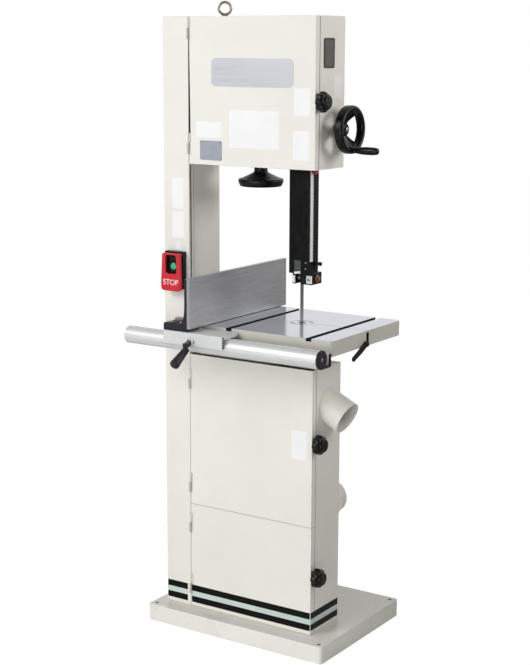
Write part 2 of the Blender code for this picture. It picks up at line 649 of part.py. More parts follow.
def make_dust_ports(paint):
    side = piece("side_dust_port", tilted_cylinder(PORT_RADIUS, -0.080, SIDE_PORT_LENGTH), paint)
    low = (BODY_RIGHT - 0.200, BACK_Y - BODY_DEPTH, SIDE_PORT_HEIGHT - 0.200)
    cut(side, box(low, (BODY_RIGHT + GAP, BACK_Y + 0.100, SIDE_PORT_HEIGHT + 0.200)))
    cut(side, tilted_cylinder(PORT_RADIUS - PORT_WALL, -0.090, SIDE_PORT_LENGTH + OVERLAP))
    centre = (REAR_PORT_X, REAR_PORT_HEIGHT)
    start = BACK_Y + GAP
    rim = PORT_RADIUS + 0.010
    inner = PORT_RADIUS - PORT_WALL
    profile = [(rim, start), (rim, start + PORT_FLANGE), (PORT_RADIUS, start + PORT_FLANGE),
               (PORT_RADIUS, start + REAR_PORT_LENGTH), (inner, start + REAR_PORT_LENGTH), (inner, start)]
    piece("rear_dust_port", turned(profile, "Y", centre, 32, closed=True), paint)


# ---------------------------------------------------------------- wheels, blade and drive
def make_wheel(name, height, bore, iron):
    """Cast wheel with a rim, a web with round openings and a hub."""
    front = BLADE_Y - WHEEL_WIDTH / 2
    back = BLADE_Y + WHEEL_WIDTH / 2
    rim = WHEEL_RADIUS - TIRE_THICKNESS - GAP
    rim_inner = rim - 0.010
    hub = 0.030
    web_front, web_back = BLADE_Y - 0.004, BLADE_Y + 0.004
    profile = [(bore, front), (hub, front), (hub, web_front), (rim_inner, web_front), (rim_inner, front),
               (rim, front), (rim, back), (rim_inner, back), (rim_inner, web_back), (hub, web_back),
               (hub, back), (bore, back)]
    centre = (WHEEL_X, height)
    wheel = piece(name, turned(profile, "Y", centre, WHEEL_SIDES, closed=True), iron, (WHEEL_X, BLADE_Y, height))
    middle = (hub + rim_inner) / 2
    for hole in arc(centre, middle, 0.0, 360.0, 5)[:-1]:
        cut(wheel, cylinder("Y", hole, (rim_inner - hub) * 0.36, front, back, 16))


def make_tire(name, height, rubber):
    front = BLADE_Y - WHEEL_WIDTH / 2
    inner = WHEEL_RADIUS - TIRE_THICKNESS
    shape = ring("Y", (WHEEL_X, height), WHEEL_RADIUS, inner, front, front + WHEEL_WIDTH, WHEEL_SIDES)
    piece(name, shape, rubber, (WHEEL_X, BLADE_Y, height))


def blade_outline(radius):
    upper = arc((WHEEL_X, UPPER_WHEEL_Z), radius, 0.0, 180.0, WHEEL_SIDES // 2)
    lower = arc((WHEEL_X, LOWER_WHEEL_Z), radius, 180.0, 360.0, WHEEL_SIDES // 2)
    return upper + lower


def make_blade(steel):
    half = BLADE_THICKNESS / 2
    shape = loop(blade_outline(BLADE_RUN + half), blade_outline(BLADE_RUN - half), "Y",
                 BLADE_Y - BLADE_WIDTH / 2, BLADE_Y + BLADE_WIDTH / 2)
    piece("blade", shape, steel)


def pulley_profile(radius, bore):
    """Flat-bottomed pulley with a flange on each side of the belt."""
    front, back = PULLEY_FRONT, PULLEY_FRONT + PULLEY_WIDTH
    flange = 0.0018
    rim = radius + BELT_THICKNESS * 0.6
    return [(bore, front), (rim, front), (rim, front + flange), (radius, front + flange),
            (radius, back - flange), (rim, back - flange), (rim, back), (bore, back)]


def make_lower_drive(steel, iron, rubber):
    """Lower wheel's shaft with its pulley, its bearing housing, the belt and the motor pulley."""
    centre = (WHEEL_X, LOWER_WHEEL_Z)
    nose = BLADE_Y - WHEEL_WIDTH / 2 - 0.010
    tail = BACK_Y + 0.028
    pulley_back = PULLEY_FRONT + PULLEY_WIDTH
    wheel_pulley = pulley_profile(WHEEL_PULLEY_RADIUS, SHAFT_RADIUS)[1:-1]
    profile = [(0, nose), (SHAFT_RADIUS, nose), (SHAFT_RADIUS, PULLEY_FRONT), *wheel_pulley,
               (SHAFT_RADIUS, pulley_back), (SHAFT_RADIUS, tail), (0, tail)]
    piece("lower_shaft", turned(profile, "Y", centre, 28), steel, (WHEEL_X, BLADE_Y, LOWER_WHEEL_Z))
    bore = SHAFT_RADIUS + GAP
    start = pulley_back + 0.002
    housing = [(bore, start), (HOUSING_RADIUS, start), (HOUSING_RADIUS, BACK_Y + GAP), (0.052, BACK_Y + GAP),
               (0.052, BACK_Y + 0.012), (0.036, BACK_Y + 0.012), (0.032, tail - 0.003), (bore, tail - 0.003)]
    piece("lower_bearing_housing", turned(housing, "Y", centre, 28, closed=True), iron)
    motor_centre = (MOTOR_X, MOTOR_HEIGHT)
    shaft_tip = BACK_Y + GAP + 0.020
    small = pulley_profile(MOTOR_PULLEY_RADIUS, 0.0)
    profile = [*small[:-1], (0.0095, pulley_back), (0.0095, shaft_tip), (0, shaft_tip)]
    piece("motor_pulley", turned(profile, "Y", motor_centre, 20), steel, (MOTOR_X, PULLEY_Y, MOTOR_HEIGHT))
    inner = belt_outline(centre, WHEEL_PULLEY_RADIUS + GAP, motor_centre, MOTOR_PULLEY_RADIUS + GAP)
    outer = belt_outline(centre, WHEEL_PULLEY_RADIUS + GAP + BELT_THICKNESS,
                         motor_centre, MOTOR_PULLEY_RADIUS + GAP + BELT_THICKNESS)
    shape = loop(outer, inner, "Y", PULLEY_Y - BELT_WIDTH / 2, PULLEY_Y + BELT_WIDTH / 2)
    piece("drive_belt", shape, rubber)


def make_motor(paint):
    start = BACK_Y + GAP
    centre = (MOTOR_X, MOTOR_HEIGHT)
    end = start + MOTOR_LENGTH
    bore = 0.0095 + RUNNING
    profile = [(bore, start), (MOTOR_RADIUS + 0.012, start), (MOTOR_RADIUS + 0.012, start + 0.010),
               (MOTOR_RADIUS - 0.006, start + 0.014), (MOTOR_RADIUS, start + 0.030),
               (MOTOR_RADIUS, end - 0.050), (MOTOR_RADIUS + 0.003, end - 0.048),
               (MOTOR_RADIUS + 0.003, end - 0.008), (MOTOR_RADIUS - 0.008, end), (0, end),
               (0, start + 0.022), (bore, start + 0.022)]
    motor = piece("motor", turned(profile, "Y", centre, 28, closed=True), paint)
    weld(motor, box((MOTOR_X - 0.040, start + 0.060, MOTOR_HEIGHT + MOTOR_RADIUS - 0.020),
                    (MOTOR_X + 0.040, start + 0.150, MOTOR_HEIGHT + MOTOR_RADIUS + 0.032)))


# ---------------------------------------------------------------- blade tension
def make_tension(iron, steel, black):
    """Guideway, sliding block with the upper axle, spring, screw and handwheel."""
    rear = BACK_Y - SHEET - GAP
    channel_bottom = UPPER_WHEEL_Z - 0.104
    channel_top = UPPER_WHEEL_Z + 0.075
    guide = piece("tension_guideway", box((WHEEL_X - SLIDE_HALF - CHANNEL_LIP, SLIDE_FRONT + 0.006, channel_bottom),
                                          (WHEEL_X + SLIDE_HALF + CHANNEL_LIP, rear, channel_top)), iron)
    cut(guide, box((WHEEL_X - SLIDE_HALF - GAP, SLIDE_FRONT, channel_bottom + 0.006),
                   (WHEEL_X + SLIDE_HALF + GAP, rear - 0.003, channel_top + OVERLAP)))
    cut(guide, cylinder("Z", (WHEEL_X, TENSION_Y), TENSION_SCREW_RADIUS + RUNNING,
                        channel_bottom - OVERLAP, channel_bottom + 0.008, 24))
    slide_bottom = UPPER_WHEEL_Z - SLIDE_HEIGHT / 2
    pivot = (WHEEL_X, TENSION_Y, UPPER_WHEEL_Z)
    slide = piece("tension_slide", box((WHEEL_X - SLIDE_HALF, SLIDE_FRONT, slide_bottom),
                                       (WHEEL_X + SLIDE_HALF, rear - 0.003 - GAP, slide_bottom + SLIDE_HEIGHT)),
                  iron, pivot)
    nose = BLADE_Y - WHEEL_WIDTH / 2 - 0.012
    weld(slide, cylinder("Y", (WHEEL_X, UPPER_WHEEL_Z), AXLE_RADIUS, nose, SLIDE_FRONT + 0.004, 32))
    weld(slide, cylinder("Y", (WHEEL_X, UPPER_WHEEL_Z), 0.018, BLADE_Y + WHEEL_WIDTH / 2 + GAP, SLIDE_FRONT + 0.002))
    cut(slide, cylinder("Z", (WHEEL_X, TENSION_Y), TENSION_SCREW_RADIUS + GAP,
                        slide_bottom - OVERLAP, slide_bottom + NUT_DEPTH, 24))
    spring_start = channel_bottom + 0.006 + GAP
    spring_end = slide_bottom - TENSION_TRAVEL - 0.002
    piece("tension_spring", coil((WHEEL_X, TENSION_Y), 0.0105, 0.0016, spring_start, spring_end, 4), steel)
    make_tension_handwheel(slide_bottom, black)


def make_tension_handwheel(slide_bottom, black):
    bottom = HEAD_BOTTOM - TENSION_WHEEL_DROP
    screw_tip = slide_bottom + NUT_DEPTH - TENSION_TRAVEL - 0.004
    outer = TENSION_WHEEL_RADIUS
    profile = [(0, bottom + 0.010), (0.018, bottom + 0.010), (0.022, bottom), (outer - 0.016, bottom),
               (outer - 0.006, bottom + 0.002), (outer, bottom + 0.012), (outer, bottom + 0.020),
               (outer - 0.003, bottom + 0.024), (0.043, bottom + 0.0235), (0.0205, bottom + 0.036),
               (0.0205, HEAD_BOTTOM - 0.003),
               (0.012, HEAD_BOTTOM - GAP), (TENSION_SCREW_RADIUS, HEAD_BOTTOM - GAP),
               (TENSION_SCREW_RADIUS, screw_tip), (0, screw_tip)]
    piece("tension_handwheel", turned(profile, "Z", (WHEEL_X, TENSION_Y), 28), black,
          (WHEEL_X, TENSION_Y, HEAD_BOTTOM))


# ---------------------------------------------------------------- guide post
def rack_outline():
    """Side view of the post, with rack teeth down its rear edge."""
    points = [(POST_BACK - RACK_TOOTH, POST_TOP), (POST_FRONT, POST_TOP), (POST_FRONT, POST_BOTTOM),
              (POST_BACK - RACK_TOOTH, POST_BOTTOM)]
    teeth = int((POST_LENGTH - 0.020) / RACK_PITCH)
    for tooth in range(teeth):
        foot = POST_BOTTOM + 0.010 + tooth * RACK_PITCH
        quarter = RACK_PITCH / 4
        points += [(POST_BACK - RACK_TOOTH, foot), (POST_BACK, foot + quarter),
                   (POST_BACK, foot + 2 * quarter), (POST_BACK - RACK_TOOTH, foot + 3 * quarter)]
    return points


def make_guide_post(steel, black):
    pivot = ((POST_LEFT + POST_RIGHT) / 2, (POST_FRONT + POST_BACK) / 2, POST_BOTTOM)
    piece("guide_post", prism(rack_outline(), "X", POST_LEFT, POST_RIGHT), steel, pivot)
    side_back = PINION_Y - 0.0105
    sheet = GUARD_SHEET
    outline = [(GUARD_LEFT, GUARD_FRONT), (GUARD_RIGHT, GUARD_FRONT), (GUARD_RIGHT, side_back),
               (GUARD_RIGHT - sheet, side_back), (GUARD_RIGHT - sheet, GUARD_FRONT + sheet),
               (GUARD_LEFT + sheet, GUARD_FRONT + sheet), (GUARD_LEFT + sheet, GUARD_FRONT + 0.020),
               (GUARD_LEFT, GUARD_FRONT + 0.020)]
    guard = piece("blade_guard", prism(outline, "Z", POST_BOTTOM, POST_BOTTOM + GUARD_LENGTH), black, pivot)
    weld(guard, box((POST_LEFT, GUARD_FRONT + OVERLAP, POST_BOTTOM + 0.006),
                    (POST_RIGHT, POST_FRONT - GAP, POST_BOTTOM + 0.046)))


def make_post_bracket(iron):
    """Block bolted to the head's rear wall: the post slides in it and the pinion shaft turns in it."""
    low = (POST_LEFT - 0.007, POST_FRONT - 0.006, HEAD_BOTTOM + 0.018)
    high = (POST_RIGHT + 0.006, BACK_Y - SHEET - GAP, PINION_Z - PINION_RADIUS - 0.008)
    bracket = piece("guide_post_bracket", box(low, high), iron)
    cut(bracket, box((POST_LEFT - GAP, POST_FRONT - GAP, low[2] - OVERLAP),
                     (POST_RIGHT + GAP, POST_BACK + GAP, high[2] + OVERLAP)))
    weld(bracket, box((POST_LEFT - 0.007, PINION_Y - 0.011, high[2] - 0.004),
                      (POST_LEFT - OVERLAP, high[1], PINION_Z + 0.014)))
    cut(bracket, cylinder("X", (PINION_Y, PINION_Z), PINION_SHAFT + GAP, low[0] - OVERLAP, POST_LEFT, 16))


def make_guide_handwheel(black):
    """Handwheel, shaft and pinion that raise and lower the post."""
    centre = (PINION_Y, PINION_Z)
    pivot = (BODY_RIGHT, *centre)
    rim_mid = BODY_RIGHT + HANDWHEEL_STANDOFF
    outer = HANDWHEEL_RADIUS
    rim = [(outer, rim_mid - 0.006), (outer, rim_mid + 0.009), (outer - 0.006, rim_mid + 0.014),
           (outer - 0.014, rim_mid + 0.010), (outer - 0.016, rim_mid - 0.006), (outer - 0.008, rim_mid - 0.013)]
    wheel = piece("guide_handwheel", turned(rim, "X", centre, 36, closed=True), black, pivot)
    hub = [(0, BODY_RIGHT + 0.001), (0.014, BODY_RIGHT + 0.001), (0.017, rim_mid - 0.012),
           (0.017, rim_mid + 0.002), (0, rim_mid + 0.002)]
    weld(wheel, turned(hub, "X", centre, 24))
    for angle in (68.0, 180.0, 292.0):
        direction = (math.cos(math.radians(angle)), math.sin(math.radians(angle)))
        across = (-direction[1], direction[0])
        corners = []
        for reach, side in ((0.010, -0.010), (outer - 0.010, -0.008), (outer - 0.010, 0.008), (0.010, 0.010)):
            corners.append((centre[0] + direction[0] * reach + across[0] * side,
                            centre[1] + direction[1] * reach + across[1] * side))
        weld(wheel, prism(corners, "X", rim_mid - 0.010, rim_mid - 0.003))
    weld(wheel, cylinder("X", centre, PINION_SHAFT, POST_LEFT - 0.006, BODY_RIGHT + 0.010, 16))
    weld(wheel, prism(toothed(centre, PINION_RADIUS, RACK_TOOTH, PINION_TEETH), "X",
                      POST_LEFT + 0.001, POST_RIGHT - 0.001))
    weld(wheel, cylinder("X", grip_centre(), 0.003, rim_mid + 0.004, rim_mid + GRIP_LENGTH, 12))
    make_crank_grip(rim_mid, black)


def grip_centre():
    return (PINION_Y, PINION_Z - HANDWHEEL_RADIUS + 0.0105)


def make_crank_grip(rim_mid, black):
    start = rim_mid + 0.0148
    end = start + GRIP_LENGTH
    bore = 0.003 + GAP
    profile = [(bore, start), (0.008, start), (0.0095, start + 0.006), (GRIP_RADIUS, start + 0.030),
               (GRIP_RADIUS, end - 0.010), (GRIP_RADIUS - 0.004, end - 0.002), (0, end),
               (0, end - 0.006), (bore, end - 0.006)]
    piece("crank_grip", turned(profile, "X", grip_centre(), 24, closed=True), black, (start, *grip_centre()))


# ---------------------------------------------------------------- blade guides
def guide_block(name, bottom, top, material, pivot=(0.0, 0.0, 0.0)):
    """Carrier for two side guides and a backup bearing, open at the front for the blade."""
    block = piece(name, box((BLADE_X - 0.018, BLOCK_FRONT, bottom), (POST_RIGHT + 0.008, BLOCK_BACK, top)),
                  material, pivot)
    cut(block, box((BLADE_X - BLOCK_SLOT, BLOCK_FRONT - OVERLAP, bottom - OVERLAP),
                   (BLADE_X + BLOCK_SLOT, BACKUP_FRONT + 0.010, top + OVERLAP)))
    middle = (bottom + top) / 2
    cut(block, cylinder("X", (BLADE_Y, middle), GUIDE_RADIUS + GAP, BLADE_X - 0.020, POST_RIGHT + 0.010, 24))
    cut(block, cylinder("Y", (BLADE_X, middle), BACKUP_AXLE + GAP, BACKUP_FRONT + 0.008, BACKUP_FRONT + 0.018, 16))
    return middle


def backup_bearing(name, height, steel):
    """Bearing behind the blade, on its own short axle."""
    face = BACKUP_FRONT
    profile = [(0, face), (BACKUP_RADIUS, face), (BACKUP_RADIUS, face + 0.009), (BACKUP_AXLE, face + 0.009),
               (BACKUP_AXLE, face + 0.017), (0, face + 0.017)]
    piece(name, turned(profile, "Y", (BLADE_X, height), 24), steel, (BLADE_X, face, height))


def side_guides(prefix, height, steel):
    """Round guides that face the blade's two sides."""
    clear = BLADE_THICKNESS / 2 + GAP
    centre = (BLADE_Y, height)
    left_end = BLADE_X - 0.026
    left = [(0, left_end), (GUIDE_RADIUS, left_end), (GUIDE_RADIUS, BLADE_X - clear), (0, BLADE_X - clear)]
    piece(f"{prefix}_left_guide", turned(left, "X", centre, 24), steel, (BLADE_X - clear, *centre))
    nut = POST_RIGHT + 0.008 + GAP
    right = [(0, BLADE_X + clear), (GUIDE_RADIUS, BLADE_X + clear), (GUIDE_RADIUS, nut), (0.011, nut),
             (0.011, nut + 0.005), (0.006, nut + 0.007), (0.006, nut + 0.012), (0, nut + 0.012)]
    piece(f"{prefix}_right_guide", turned(right, "X", centre, 24), steel, (BLADE_X + clear, *centre))


def make_upper_guides(black, steel):
    top = POST_BOTTOM - GAP
    pivot = ((POST_LEFT + POST_RIGHT) / 2, (POST_FRONT + POST_BACK) / 2, POST_BOTTOM)
    middle = guide_block("upper_guide_block", top - 0.034, top, black, pivot)
    side_guides("upper", middle, steel)
    backup_bearing("upper_backup_bearing", middle, steel)


def make_lower_guide_block(black):
    """Blocks on the cradle that steady the blade below the table."""
    base = CABINET_TOP + 2 * GAP + CRADLE_BASE
    half_x, half_y = 0.014, 0.0185
    block = piece("lower_guide_block", box((BLADE_X - half_x, BLADE_Y - half_y, base),
                                           (BLADE_X + half_x, BLADE_Y + half_y, base + 0.046)), black)
    side = BLADE_THICKNESS / 2 + GAP
    cut(block, box((BLADE_X - side, BLADE_Y - half_y - OVERLAP, base - OVERLAP),
                   (BLADE_X + side, BACKUP_FRONT, base + 0.046 + OVERLAP)))


def make_height_pointer(red):
    pointer_x = GUARD_RIGHT + 0.0045
    low = (pointer_x, GUARD_FRONT + 0.016, HEAD_BOTTOM - 0.016)
    piece("height_pointer", box(low, (pointer_x + 0.022, GUARD_FRONT + 0.026, HEAD_BOTTOM - GAP)), red)


# ---------------------------------------------------------------- table
def make_table(iron):
    centre = ((TABLE_LEFT + TABLE_RIGHT) / 2, BLADE_Y)
    width = TABLE_RIGHT - TABLE_LEFT
    low = TABLE_TOP - SKIRT_HEIGHT
    table = piece("table", prism(rounded(width, TABLE_DEPTH, TABLE_CORNER, centre), "Z", low, TABLE_TOP),
                  iron, (BLADE_X, BLADE_Y, TABLE_TOP))
    under = rounded(width - 2 * SKIRT_THICKNESS, TABLE_DEPTH - 2 * SKIRT_THICKNESS, TABLE_CORNER / 2, centre)
    cut(table, prism(under, "Z", low - OVERLAP, TABLE_TOP - TABLE_PLATE))
    for slot_x in (BLADE_X - MITER_LEFT, BLADE_X + MITER_RIGHT):
        cut(table, box((slot_x - MITER_WIDTH / 2, TABLE_FRONT - OVERLAP, TABLE_TOP - MITER_DEPTH),
                       (slot_x + MITER_WIDTH / 2, TABLE_BACK + OVERLAP, TABLE_TOP + OVERLAP)))
    place = (BLADE_X, BLADE_Y)
    cut(table, cylinder("Z", place, INSERT_RADIUS + GAP, TABLE_TOP - INSERT_THICKNESS - GAP, TABLE_TOP + OVERLAP, 40))
    cut(table, cylinder("Z", place, INSERT_RADIUS - 0.006, TABLE_TOP - TABLE_PLATE - OVERLAP, TABLE_TOP, 40))
    cut(table, box((BLADE_X, BLADE_Y - BLADE_ENTRY / 2, low - OVERLAP),
                   (TABLE_RIGHT + OVERLAP, BLADE_Y + BLADE_ENTRY / 2, TABLE_TOP + OVERLAP)))
    cut(table, box((TABLE_RIGHT - SKIRT_THICKNESS - OVERLAP, BLADE_Y - SKIRT_ENTRY / 2, low - OVERLAP),
                   (TABLE_RIGHT + OVERLAP, BLADE_Y + SKIRT_ENTRY / 2, TABLE_TOP - TABLE_PLATE / 2)))
    boss = lock_lever_place()
    skirt_inside = TABLE_RIGHT - SKIRT_THICKNESS
    weld(table, cylinder("X", boss, LEVER_BOSS, skirt_inside - LEVER_BOSS_LENGTH, skirt_inside + OVERLAP, 24))
    cut(table, cylinder("X", boss, LEVER_STUD + GAP, skirt_inside - LEVER_BOSS_LENGTH - OVERLAP,
                        TABLE_RIGHT + OVERLAP, 16))


def make_table_insert(iron):
    insert = piece("table_insert", cylinder("Z", (BLADE_X, BLADE_Y), INSERT_RADIUS,
                                            TABLE_TOP - INSERT_THICKNESS, TABLE_TOP - GAP / 2, 40),
                   iron, (BLADE_X, BLADE_Y, TABLE_TOP))
    length, width = 0.017, 0.0022
    low, high = TABLE_TOP - 0.010, TABLE_TOP + OVERLAP
    tilt_room = INSERT_THICKNESS + BLADE_THICKNESS
    cut(insert, box((BLADE_X - width, BLADE_Y - length, low), (BLADE_X + width + tilt_room, BLADE_Y + length, high)))
    cut(insert, box((BLADE_X - length, BLADE_Y - width, low), (BLADE_X + length, BLADE_Y + width, high)))


def make_trunnion(iron):
    """Half-round lugs under the table, and the cradle on the cabinet that they tilt in."""
    pivot = (BLADE_X, BLADE_Y, TABLE_TOP)
    plate_bottom = TABLE_TOP - TRUNNION_DROP
    plate_top = TABLE_TOP - TABLE_PLATE - GAP
    reach = 0.100
    spread = TRUNNION_SPREAD + TRUNNION_LUG / 2
    trunnion = piece("table_trunnion", box((BLADE_X - reach, BLADE_Y - spread, plate_bottom),
                                           (BLADE_X + reach, BLADE_Y + spread, plate_top)), iron, pivot)
    half_angle = math.degrees(math.asin((TRUNNION_DROP + 0.0005) / TRUNNION_RADIUS))
    lug = arc((BLADE_X, TABLE_TOP), TRUNNION_RADIUS, 180.0 + half_angle + 15.0, 360.0 - half_angle - 15.0, 24)
    lug = [(BLADE_X - 0.098, plate_bottom + OVERLAP), *lug, (BLADE_X + 0.098, plate_bottom + OVERLAP)]
    for side in (-1, 1):
        middle = BLADE_Y + side * TRUNNION_SPREAD
        weld(trunnion, prism(lug, "Y", middle - TRUNNION_LUG / 2, middle + TRUNNION_LUG / 2))
    cut(trunnion, box((BLADE_X - 0.016, BLADE_Y - 0.020, plate_bottom - OVERLAP),
                      (BLADE_X + reach + OVERLAP, BLADE_Y + 0.020, plate_top + OVERLAP)))
    base_top = CABINET_TOP + GAP + CRADLE_BASE
    half_base = 0.070
    cradle = piece("trunnion_cradle", box((BLADE_X - half_base, BLADE_Y - spread, CABINET_TOP + GAP),
                                          (BLADE_X + half_base, BLADE_Y + spread, base_top)), iron)
    for side in (-1, 1):
        middle = BLADE_Y + side * TRUNNION_SPREAD
        weld(cradle, box((BLADE_X - half_base, middle - TRUNNION_LUG / 2, CABINET_TOP + OVERLAP),
                         (BLADE_X + half_base, middle + TRUNNION_LUG / 2, CABINET_TOP + CRADLE_HEIGHT)))
    cut(cradle, cylinder("Y", (BLADE_X, TABLE_TOP), TRUNNION_RADIUS + GAP, BLADE_Y - 0.080, BLADE_Y + 0.080, 96))
    cut(cradle, box((BLADE_X - 0.010, BLADE_Y - 0.016, CABINET_TOP), (BLADE_X + 0.010, BLADE_Y + 0.016, base_top + OVERLAP)))


def lock_lever_place():
    return (BLADE_Y - LEVER_BEFORE_SLOT, TABLE_TOP - LEVER_BELOW_TOP)


def make_table_lock_lever(black):
    """Clamping lever on the outside of the right skirt, turning about its stud."""
    across, height = lock_lever_place()
    face = TABLE_RIGHT + GAP
    tip = TABLE_RIGHT - SKIRT_THICKNESS - LEVER_BOSS_LENGTH + GAP
    profile = [(0, tip), (LEVER_STUD, tip), (LEVER_STUD, face), (LEVER_HUB, face), (LEVER_HUB, face + 0.010),
               (0.006, face + 0.0122), (0, face + 0.0122)]
    lever = piece("table_lock_lever", turned(profile, "X", (across, height), 20), black, (face, across, height))
    arm = [(0.0, LEVER_HUB - OVERLAP / 2), (-0.030, -0.006), (-0.074, -0.0275), (-0.078, -0.033),
           (-0.074, -0.0395), (-0.028, -0.0215), (0.0, OVERLAP / 2 - LEVER_HUB)]
    arm = [(across + forward, height + rise) for forward, rise in arm]
    weld(lever, prism(arm, "X", face + 0.0015, face + 0.0085))


# ---------------------------------------------------------------- rail and fence
def rail_outline(growth=0.0):
    """End view of the rail: a round front part with a hook that bolts to the table."""
    radius = RAIL_RADIUS + growth
    low = RAIL_Z - radius
    back = TABLE_FRONT - GAP
    front_arc = arc((RAIL_Y, RAIL_Z), radius, -35.0, 270.0, 24)
    hook = [(back, low), (back, low + RAIL_HOOK_RISE), (back - RAIL_WALL, low + RAIL_HOOK_RISE),
            (back - RAIL_WALL, low + RAIL_WALL * 2), (RAIL_Y + radius, low + RAIL_WALL * 2)]
    return front_arc + hook


def make_rail(aluminium, black):
    left = RAIL_RIGHT - RAIL_LENGTH
    rail = piece("front_rail", prism(rail_outline(), "X", left, RAIL_RIGHT), aluminium)
    cut(rail, cylinder("X", (RAIL_Y, RAIL_Z), RAIL_RADIUS - RAIL_WALL, left - OVERLAP, RAIL_RIGHT + OVERLAP, 32))
    start = RAIL_RIGHT + GAP
    piece("rail_end_cap", prism(rail_outline(0.0015), "X", start, start + CAP_THICKNESS), black)


def make_fence(aluminium, black):
    left = FENCE_FACE - FENCE_THICKNESS
    slide = (FENCE_FACE, TABLE_FRONT, TABLE_TOP)
    piece("fence", box((left, FENCE_FRONT, FENCE_BOTTOM), (FENCE_FACE, FENCE_FRONT + FENCE_LENGTH, FENCE_TOP)),
          aluminium, slide)
    carriage_left = FENCE_FACE - CARRIAGE_LEFT
    carriage_right = FENCE_FACE + CARRIAGE_RIGHT
    back = TABLE_FRONT - 0.004
    outline = [(CARRIAGE_FRONT, CARRIAGE_TOP - CARRIAGE_FRONT_HEIGHT), (CARRIAGE_FRONT, CARRIAGE_TOP),
               (back, CARRIAGE_TOP), (back, CARRIAGE_BOTTOM), (CARRIAGE_FRONT + CARRIAGE_WALL, CARRIAGE_BOTTOM),
               (CARRIAGE_FRONT + CARRIAGE_WALL, CARRIAGE_TOP - CARRIAGE_FRONT_HEIGHT)]
    carriage = piece("fence_carriage", prism(outline, "X", carriage_left, carriage_right), aluminium, slide)
    pivot_x = FENCE_FACE + 0.006
    pivot_z = CARRIAGE_TOP - 0.026
    for side in (-1, 1):
        ear = pivot_x + side * 0.0095
        weld(carriage, box((ear - 0.002, CARRIAGE_FRONT - 0.010, pivot_z - 0.008),
                           (ear + 0.002, CARRIAGE_FRONT + OVERLAP, pivot_z + 0.008)))
        cut(carriage, cylinder("X", (CARRIAGE_FRONT - 0.005, pivot_z), 0.0025 + GAP, ear - 0.004, ear + 0.004, 16))
    make_fence_bracket(left, carriage_left, black, slide)
    make_fence_lock(pivot_x, pivot_z, black)


def make_fence_bracket(left, carriage_left, black, slide):
    """Black casting that stands on the carriage and holds the fence upright."""
    foot = CARRIAGE_TOP + GAP
    edge = left - GAP
    outline = [(carriage_left, foot), (edge, foot), (edge, FENCE_TOP - 0.004), (edge - 0.006, FENCE_TOP - 0.004),
               (edge - 0.008, FENCE_BOTTOM + 0.045), (edge - 0.022, FENCE_BOTTOM + 0.012),
               (carriage_left + 0.045, FENCE_BOTTOM + 0.012), (carriage_left + 0.040, FENCE_BOTTOM + 0.016),
               (carriage_left, FENCE_BOTTOM + 0.012)]
    piece("fence_bracket", prism(outline, "Y", FENCE_FRONT, FENCE_FRONT + 0.062), black, slide)


def make_fence_lock(pivot_x, pivot_z, black):
    """Cam lever on the carriage's front, turning about X."""
    pivot_y = CARRIAGE_FRONT - 0.005
    pivot = (pivot_x, pivot_y, pivot_z)
    cam = cylinder("X", (pivot_y, pivot_z), 0.0046, pivot_x - 0.0070, pivot_x + 0.0070, 20)
    handle = piece("fence_lock_handle", cam, black, pivot)
    weld(handle, cylinder("X", (pivot_y, pivot_z), 0.0025, pivot_x - 0.0118, pivot_x + 0.0118, 16))
    neck = [(pivot_y - 0.001, pivot_z + 0.0040), (pivot_y + 0.0025, pivot_z - 0.0035),
            (pivot_y - 0.030, pivot_z - 0.030), (pivot_y - 0.036, pivot_z - 0.022)]
    weld(handle, prism(neck, "X", pivot_x - 0.006, pivot_x + 0.006))
    grip = turned([(0, 0.022), (0.007, 0.024), (0.0115, 0.045), (0.0145, 0.088), (0.010, 0.096), (0, 0.098)],
                  "Y", (0.0, 0.0), 20)
    droop = math.radians(32.0)
    for vertex in grip.verts:
        reach, height = vertex.co.y, vertex.co.z
        vertex.co.x += pivot_x
        vertex.co.y = pivot_y - reach * math.cos(droop) + height * math.sin(droop)
        vertex.co.z = pivot_z - 0.006 - reach * math.sin(droop) - height * math.cos(droop)
    weld(handle, close(grip))


# ---------------------------------------------------------------- switch
def make_switch(black, red, green):
    low = (SWITCH_X - SWITCH_WIDTH / 2, SWITCH_FACE, SWITCH_BOTTOM)
    high = (SWITCH_X + SWITCH_WIDTH / 2, FRONT_Y - GAP, SWITCH_BOTTOM + SWITCH_HEIGHT)
    box_piece = piece("switch_box", box(low, high), black)
    inner = 0.009
    weld(box_piece, box((low[0] + inner, FRONT_Y - 0.002, low[2] + inner + 0.002),
                        (high[0] - inner, FRONT_Y + SWITCH_BODY_DEPTH, high[2] - inner - 0.002)))
    for side in (-1, 1):
        ear = SWITCH_X + side * (PADDLE_WIDTH / 2 - 0.014)
        weld(box_piece, box((ear - 0.002, PADDLE_PIVOT_Y - PADDLE_LUG, PADDLE_PIVOT_Z - PADDLE_LUG),
                            (ear + 0.002, SWITCH_FACE + OVERLAP, PADDLE_PIVOT_Z + PADDLE_LUG)))
    button = button_place()
    cut(box_piece, cylinder("Y", button, BUTTON_RADIUS + RUNNING, SWITCH_FACE - OVERLAP, SWITCH_FACE + 0.012, 24))
    face = SWITCH_FACE - 0.004
    piece("start_button", cylinder("Y", button, BUTTON_RADIUS, face, SWITCH_FACE + 0.0075, 24), green,
          (button[0], face, button[1]))
    make_paddle(red)


def button_place():
    return (SWITCH_X, SWITCH_BOTTOM + SWITCH_HEIGHT - 0.045)


